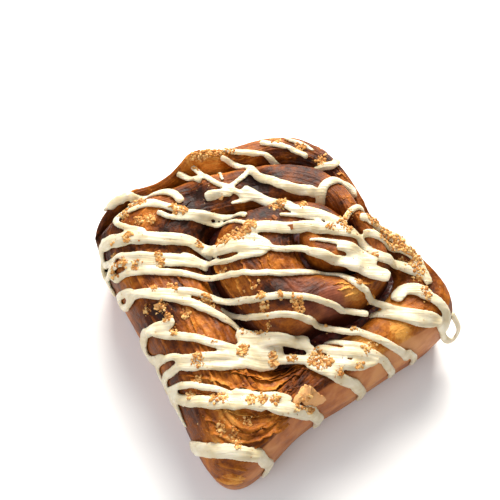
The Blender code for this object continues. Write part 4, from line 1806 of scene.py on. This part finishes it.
@dataclass(frozen=True)
class BakedCrust:
    """Laminated dough baked brown and brushed with glaze."""

    name: str = "baked_laminated_dough"
    gap: str = "200900"  # painted shade between the layers
    deep: str = "481d02"
    brown: str = "7a3c05"
    gold: str = "b0651a"
    crisp: str = "dc9a46"  # the thinnest edges, partly painted highlight
    # smooth skin: its mauve tint is painted cool sheen
    skin_dark: str = "5c2c20"
    skin: str = "9c5a3e"
    wall_dark: str = "96542a"
    wall: str = "b46d3a"
    wall_pale: str = "ca8b53"
    # syrup colour deep in the grooves: part stain, part painted shade
    syrup: str = "3a1406"

    def patterns(self, tree: Tree) -> dict[str, bpy.types.NodeSocket]:
        """Add what the dough's mesh stores and the noises that break it up.

        Args:
            tree: The material's node tree.

        Returns:
            Their outputs by name.
        """
        values = {
            key: add_node(tree, "ShaderNodeAttribute", attribute_name=key).outputs["Fac"]
            for key in CRUST_READS
        }
        here = add_node(tree, "ShaderNodeTexCoord").outputs["Object"]
        strip = add_node(tree, "ShaderNodeUVMap", uv_map="strip").outputs["UV"]
        # Thin pages run along the strip, broken by chips where the crust has flaked; clouds of
        # three sizes vary how far it has baked. Sizes are in millimetres, and the pages are drawn
        # ten times too coarse, because real ones are too thin to show
        for name, place, size, detail, distortion in (
            ("pages", strip, (3.333, 1.0), 3.0, 1.2),
            ("chips", strip, (3.846, 1.923), 3.0, 0.8),
            ("region", here, (18.18,) * 3, 2.0, 0.6),
            ("broad", here, (7.692,) * 3, 3.0, 0.4),
            ("fine", here, (2.381,) * 3, 2.0, 0.0),
            ("grain", here, (0.6667,) * 3, 1.0, 0.0),
        ):
            scale = [cells(s) for s in size] + [1.0] * (3 - len(size))
            squeezed = add_node(tree, "ShaderNodeMapping", {"Vector": place, "Scale": scale})
            vector = squeezed.outputs["Vector"]
            settings = {"Vector": vector, "Scale": 1.0, "Detail": detail, "Distortion": distortion}
            values[name] = add_node(tree, "ShaderNodeTexNoise", settings).outputs["Fac"]
        return values

    def sums(self, tree: Tree, values: dict[str, bpy.types.NodeSocket]) -> dict[str, bpy.types.NodeSocket]:
        """Add the weighted sums that the colours and the relief follow.

        Args:
            tree: The material's node tree.
            values: Outputs of the patterns by name.

        Returns:
            The sums' outputs by name.
        """
        clouds = {"region": 1.1, "broad": 0.9, "fine": 0.55, "grain": 0.24, "bake": 0.28}
        found = {}
        for name, start, terms in (
            ("cut tone", -1.37, {"layers": 0.54, "pages": 0.16, "chips": 0.12, **clouds}),
            ("skin tone", -0.32, {"pages": 0.35, "broad": 0.9, "fine": 0.4}),
            ("wall tone", -0.28, {"broad": 1.2, "fine": 0.35, "bake": 0.15}),
            # Deep in the grooves the crust takes the syrup colour: part stain, part painted shade
            ("stain_and_shade", 0.0, {"depth": 1.0, "fine": 4.0}),
            ("matt", 0.0, {"grain": 0.4, "fine": 0.6}),
            ("relief", 0.0, {"pages": 0.26, "chips": 0.26, "fine": 0.42, "grain": 0.24}),
            ("smoothness", 1.0, {"skin": -0.75, "wall": -0.9}),
        ):
            total: object = start
            for term, weight in terms.items():
                parts = {0: values[term], 1: weight, 2: total}
                total = add_node(tree, "ShaderNodeMath", parts, operation="MULTIPLY_ADD").outputs[0]
            found[name] = total
        return found

    def material(self) -> Finish:
        """Build the material: flaky cut edge, smooth skin with painted sheen, mould-side wall and syrup
        stains with painted shade.
        """
        # Nearly black gaps of painted shade under pale, crisp edges with a painted highlight make the cut
        # edge read as thin baked layers; the syrup colour deep in the grooves is part stain, part painted
        # shade;
        # and the even, matt wall reads as dough that baked against tin
        material, tree, shader = new_material(self.name)
        values = self.patterns(tree)
        values |= self.sums(tree, values)
        flaky = (
            (0.02, self.gap), (0.20, self.deep), (0.45, self.brown), (0.72, self.gold), (1.0, self.crisp)
        )
        colours = {
            name: add_node(
                tree, "ShaderNodeValToRGB", {"Fac": values[f"{name} tone"]}, list(stops)
            ).outputs["Color"]
            for name, stops in (
                ("cut", flaky),
                ("skin", ((0.3, self.skin_dark), (0.7, self.skin))),
                ("wall", ((0.25, self.wall_dark), (0.5, self.wall), (0.85, self.wall_pale))),
            )
        }
        stained_and_shaded = add_node(
            tree,
            "ShaderNodeMapRange",
            {"Value": values["stain_and_shade"], "From Min": 8.0, "From Max": 12.0},
            interpolation_type="SMOOTHSTEP",
        ).outputs["Result"]
        colour = colours["cut"]
        for mask, over in (
            (values["skin"], colours["skin"]),
            (stained_and_shaded, linear(self.syrup)),
            (values["wall"], colours["wall"]),
        ):
            mixed = {"Factor": mask, "A": colour, "B": over}
            colour = add_node(tree, "ShaderNodeMix", mixed, data_type="RGBA").outputs["Result"]
        matt = {"Value": values["matt"], "From Min": 0.3, "From Max": 0.7, "To Min": 0.42, "To Max": 0.66}
        rough = add_node(tree, "ShaderNodeMapRange", matt).outputs["Result"]
        relief = {"Height": values["relief"], "Distance": 0.8 * MM, "Strength": values["smoothness"]}
        bump = add_node(tree, "ShaderNodeBump", relief).outputs["Normal"]
        finish = {
            "Base Color": colour,
            "Roughness": rough,
            "Normal": bump,
            "IOR": 1.45,
            "Specular IOR Level": 0.18,
            "Subsurface Weight": 0.06,
            "Subsurface Radius": (2.2 * MM, 0.9 * MM, 0.4 * MM),
            "Subsurface Scale": 1.0,
            "Coat Weight": 0.06,
            "Coat Roughness": 0.28,
        }
        feed(tree, shader, finish)
        return material


@dataclass(frozen=True)
class CinnamonSyrup:
    """Sticky cinnamon and sugar, nearly black where it is deep."""

    dark: str = "34100a"
    lit: str = "7a3426"

    def material(self) -> Finish:
        """Build the material: dark, wet and grainy."""
        # A thin wet coat over dark grains gives small sharp glints, as on half-melted sugar
        material, tree, shader = new_material("cinnamon_syrup")
        here = add_node(tree, "ShaderNodeTexCoord").outputs["Object"]
        grain = add_node(
            tree, "ShaderNodeTexNoise", {"Vector": here, "Scale": cells(1.429), "Detail": 3.0}
        ).outputs["Fac"]
        colour = add_node(
            tree, "ShaderNodeValToRGB", {"Fac": grain}, stops=[(0.35, self.dark), (0.7, self.lit)]
        ).outputs["Color"]
        bump = add_node(
            tree, "ShaderNodeBump", {"Height": grain, "Distance": 0.6 * MM, "Strength": 0.8}
        ).outputs["Normal"]
        finish = {"Roughness": 0.28, "Coat Weight": 0.4, "Coat Roughness": 0.15}
        feed(tree, shader, {"Base Color": colour, "Normal": bump, **finish})
        return material


@dataclass(frozen=True)
class CreamIcing:
    """Opaque cream icing with fine specks of spice."""

    cream: str = "dbd0b4"
    shade: str = "cbbb95"
    speck: str = "b58a55"
    turned: float = math.radians(33.0)  # from the frame's X to the strokes' direction

    def material(self) -> Finish:
        """Build the material: soft, slightly translucent and satin."""
        # Light sinks in a little, so the edges stay warm and soft, and the satin top keeps wide,
        # quiet highlights along each stroke
        material, tree, shader = new_material("cream_icing")
        here = add_node(tree, "ShaderNodeTexCoord").outputs["Object"]
        cloud = add_node(
            tree, "ShaderNodeTexNoise", {"Vector": here, "Scale": cells(4.545), "Detail": 2.0}
        ).outputs["Fac"]
        base = add_node(
            tree, "ShaderNodeValToRGB", {"Fac": cloud}, stops=[(0.35, self.shade), (0.6, self.cream)]
        ).outputs["Color"]
        dots = add_node(tree, "ShaderNodeTexVoronoi", {"Vector": here, "Scale": cells(1.667)}, feature="F1")
        spread = {"From Min": 0.16, "From Max": 0.24, "To Min": 1.0, "To Max": 0.0}
        small = add_node(
            tree, "ShaderNodeMapRange", {"Value": dots.outputs["Distance"], **spread}
        ).outputs["Result"]
        chosen = add_node(tree, "ShaderNodeSeparateColor", {"Color": dots.outputs["Color"]}).outputs["Red"]
        some = add_node(tree, "ShaderNodeMath", {0: chosen, 1: 0.80}, operation="GREATER_THAN").outputs[0]
        mask = add_node(tree, "ShaderNodeMath", {0: small, 1: some}, operation="MULTIPLY")
        soft = add_node(tree, "ShaderNodeMath", {0: mask.outputs[0], 1: 0.6}, operation="MULTIPLY")
        colour = add_node(
            tree,
            "ShaderNodeMix",
            {"Factor": soft.outputs[0], "A": base, "B": linear(self.speck)},
            data_type="RGBA",
        ).outputs["Result"]
        # The nozzle leaves fine ridges that run the way of the strokes
        turned = add_node(
            tree, "ShaderNodeMapping", {"Vector": here, "Rotation": (0.0, 0.0, self.turned)}
        ).outputs["Vector"]
        scale = (cells(18.18), cells(1.053), cells(3.333))
        squeezed = add_node(tree, "ShaderNodeMapping", {"Vector": turned, "Scale": scale}).outputs["Vector"]
        ridges = add_node(
            tree, "ShaderNodeTexNoise", {"Vector": squeezed, "Scale": 1.0, "Detail": 2.0}
        ).outputs["Fac"]
        bump = add_node(
            tree, "ShaderNodeBump", {"Height": ridges, "Distance": 0.6 * MM, "Strength": 0.8}
        ).outputs["Normal"]
        finish = {
            "Base Color": colour,
            "Normal": bump,
            "Roughness": 0.36,
            "IOR": 1.45,
            "Subsurface Weight": 0.35,
            "Subsurface Radius": (1.6 * MM, 1.1 * MM, 0.7 * MM),
            "Subsurface Scale": 1.0,
        }
        feed(tree, shader, finish)
        return material


@dataclass(frozen=True)
class BiscuitCrumb:
    """Dry golden-brown crumbs, or shards of crust."""

    name: str = "biscuit_crumb"
    dark: str = "a8682a"
    brown: str = "c98d42"
    pale: str = "e6bd7c"

    def material(self) -> Finish:
        """Build the material: matt, each crumb a little different."""
        # No sheen at all and tones from toffee to straw make small heaps look dry and loose
        material, tree, shader = new_material(self.name)
        tone = add_node(tree, "ShaderNodeAttribute", attribute_name="tone").outputs["Fac"]
        colour = add_node(
            tree,
            "ShaderNodeValToRGB",
            {"Fac": tone},
            stops=[(0.0, self.dark), (0.5, self.brown), (1.0, self.pale)],
        ).outputs["Color"]
        finish = {
            "Base Color": colour,
            "Roughness": 0.75,
            "Subsurface Weight": 0.15,
            "Subsurface Radius": (1.2 * MM, 0.6 * MM, 0.3 * MM),
            "Subsurface Scale": 1.0,
        }
        feed(tree, shader, finish)
        return material


@dataclass(frozen=True)
class Studio:
    """Plain pale floor and soft daylight, in metres."""

    floor: str = "f4f4f3"
    floor_half: float = 1.2
    floor_drop: float = 0.0002  # just below the roll's base
    sky: str = "f2f0ea"
    sky_strength: float = 0.42
    aim: tuple[float, float, float] = (0.0, 0.0, 0.02)

    def lamp(
        self, name: str, place: tuple[float, float, float], size: float, watts: float, colour: str
    ) -> None:
        """Add an area light aimed at the roll.

        Args:
            name: Its name.
            place: Where it hangs, in metres.
            size: Side of its square, in metres.
            watts: Its power.
            colour: Its sRGB hex colour.
        """
        data = bpy.data.lights.new(name, "AREA")
        data.size = size
        data.energy = watts
        data.color = linear(colour)[:3]
        light = add_object(name, data)
        light.location = place
        aim = Vector(self.aim) - Vector(place)
        light.rotation_euler = aim.to_track_quat("-Z", "Y").to_euler()

    def build(self) -> None:
        """Add the floor, the lights and the sky."""
        half, drop = self.floor_half / MM, self.floor_drop / MM
        ends = ((-half, -half, -drop), (half, -half, -drop), (half, half, -drop), (-half, half, -drop))
        floor = make_mesh("floor", np.array(ends), [(0, 1, 2, 3)], smooth=False)
        # Matt and nearly white, so that only a soft shadow shows
        material, tree, shader = new_material("pale_floor")
        feed(tree, shader, {"Base Color": linear(self.floor), "Roughness": 0.9})
        floor.data.materials.append(material)
        self.lamp("window", (0.25, 0.38, 0.42), 0.38, 9.5, "fffaf2")
        self.lamp("room", (-0.45, -0.15, 0.45), 0.6, 2.2, "eef2ff")
        world = bpy.data.worlds.new("sky")
        world.use_nodes = True
        light = {"Color": linear(self.sky), "Strength": self.sky_strength}
        feed(world.node_tree, world.node_tree.nodes["Background"], light)
        bpy.context.scene.world = world
        bpy.context.scene.view_settings.view_transform = "Standard"


def finish_piece(
    piece: Piece, material: Finish | None = None, node: str | None = None
) -> None:
    """Dress a finished piece, hand it to the frame and report it.

    Args:
        piece: The piece, at the origin.
        material: Its finish, unless it has one.
        node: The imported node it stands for.
    """
    if material:
        piece.data.materials.clear()
        piece.data.materials.append(material)
    if node:
        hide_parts(node)
    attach(piece, ROOT)
    triangles = sum(len(p.vertices) - 2 for p in piece.data.polygons)
    LOG.info("%s: %d triangles", piece.name, triangles)


def main() -> None:
    """Build the roll and its setting in order."""
    logging.basicConfig(level=logging.INFO, format="%(name)s %(message)s")
    winding = Winding()
    coil = DoughCoil(winding)
    dough = coil.build()
    loose = LooseLayers(coil)
    layers = loose.build("loose_layers", [*loose.sheets, *loose.scattered()])
    flake = loose.build("lifted_flake", list(loose.topmost))
    sheet = FillingSheet(winding)
    filling = sheet.build()
    piping = Icing()
    icing = piping.build(Terrain([dough, layers, filling]))
    blanket = Blanket(icing=piping).build(Terrain([dough, layers, filling, icing, flake]))
    bits = [
        Scatter(*settings).build(blanket, BiscuitCrumb(*finish).material())
        for settings, finish in (
            (("biscuit_crumbs", Bit.CRUMB, "crumbs", 7.5, (0.35, 1.4), 5, 0.7), ()),
            (
                ("fine_crumbs", Bit.CRUMB, "dust", 0.55, (0.2, 0.5), 6, 0.6),
                ("fine_crumb", "8a4f1c", "b5772c", "e0b67c"),
            ),
            (
                ("crust_flakes", Bit.FLAKE, "flakes", 0.007, (0.9, 2.4), 8, 0.55),
                ("crust_flake", "8a4a1b", "b9772f", "e0a96a"),
            ),
        )
    ]
    bpy.data.objects.remove(blanket)
    crust = BakedCrust().material()
    coil.dress(dough, crust)
    loose.dress(layers, crust)
    pale = BakedCrust("pale_crust_flake", deep="7a4a20", brown="a8702f", gold="c48a48", crisp="dea56a")
    loose.dress(flake, pale.material())
    sheet.dress(filling)
    piping.dress(icing)
    for piece in bits:
        finish_piece(piece)
    Studio().build()
    Viewpoint().build()


if __name__ == "__main__":
    main()
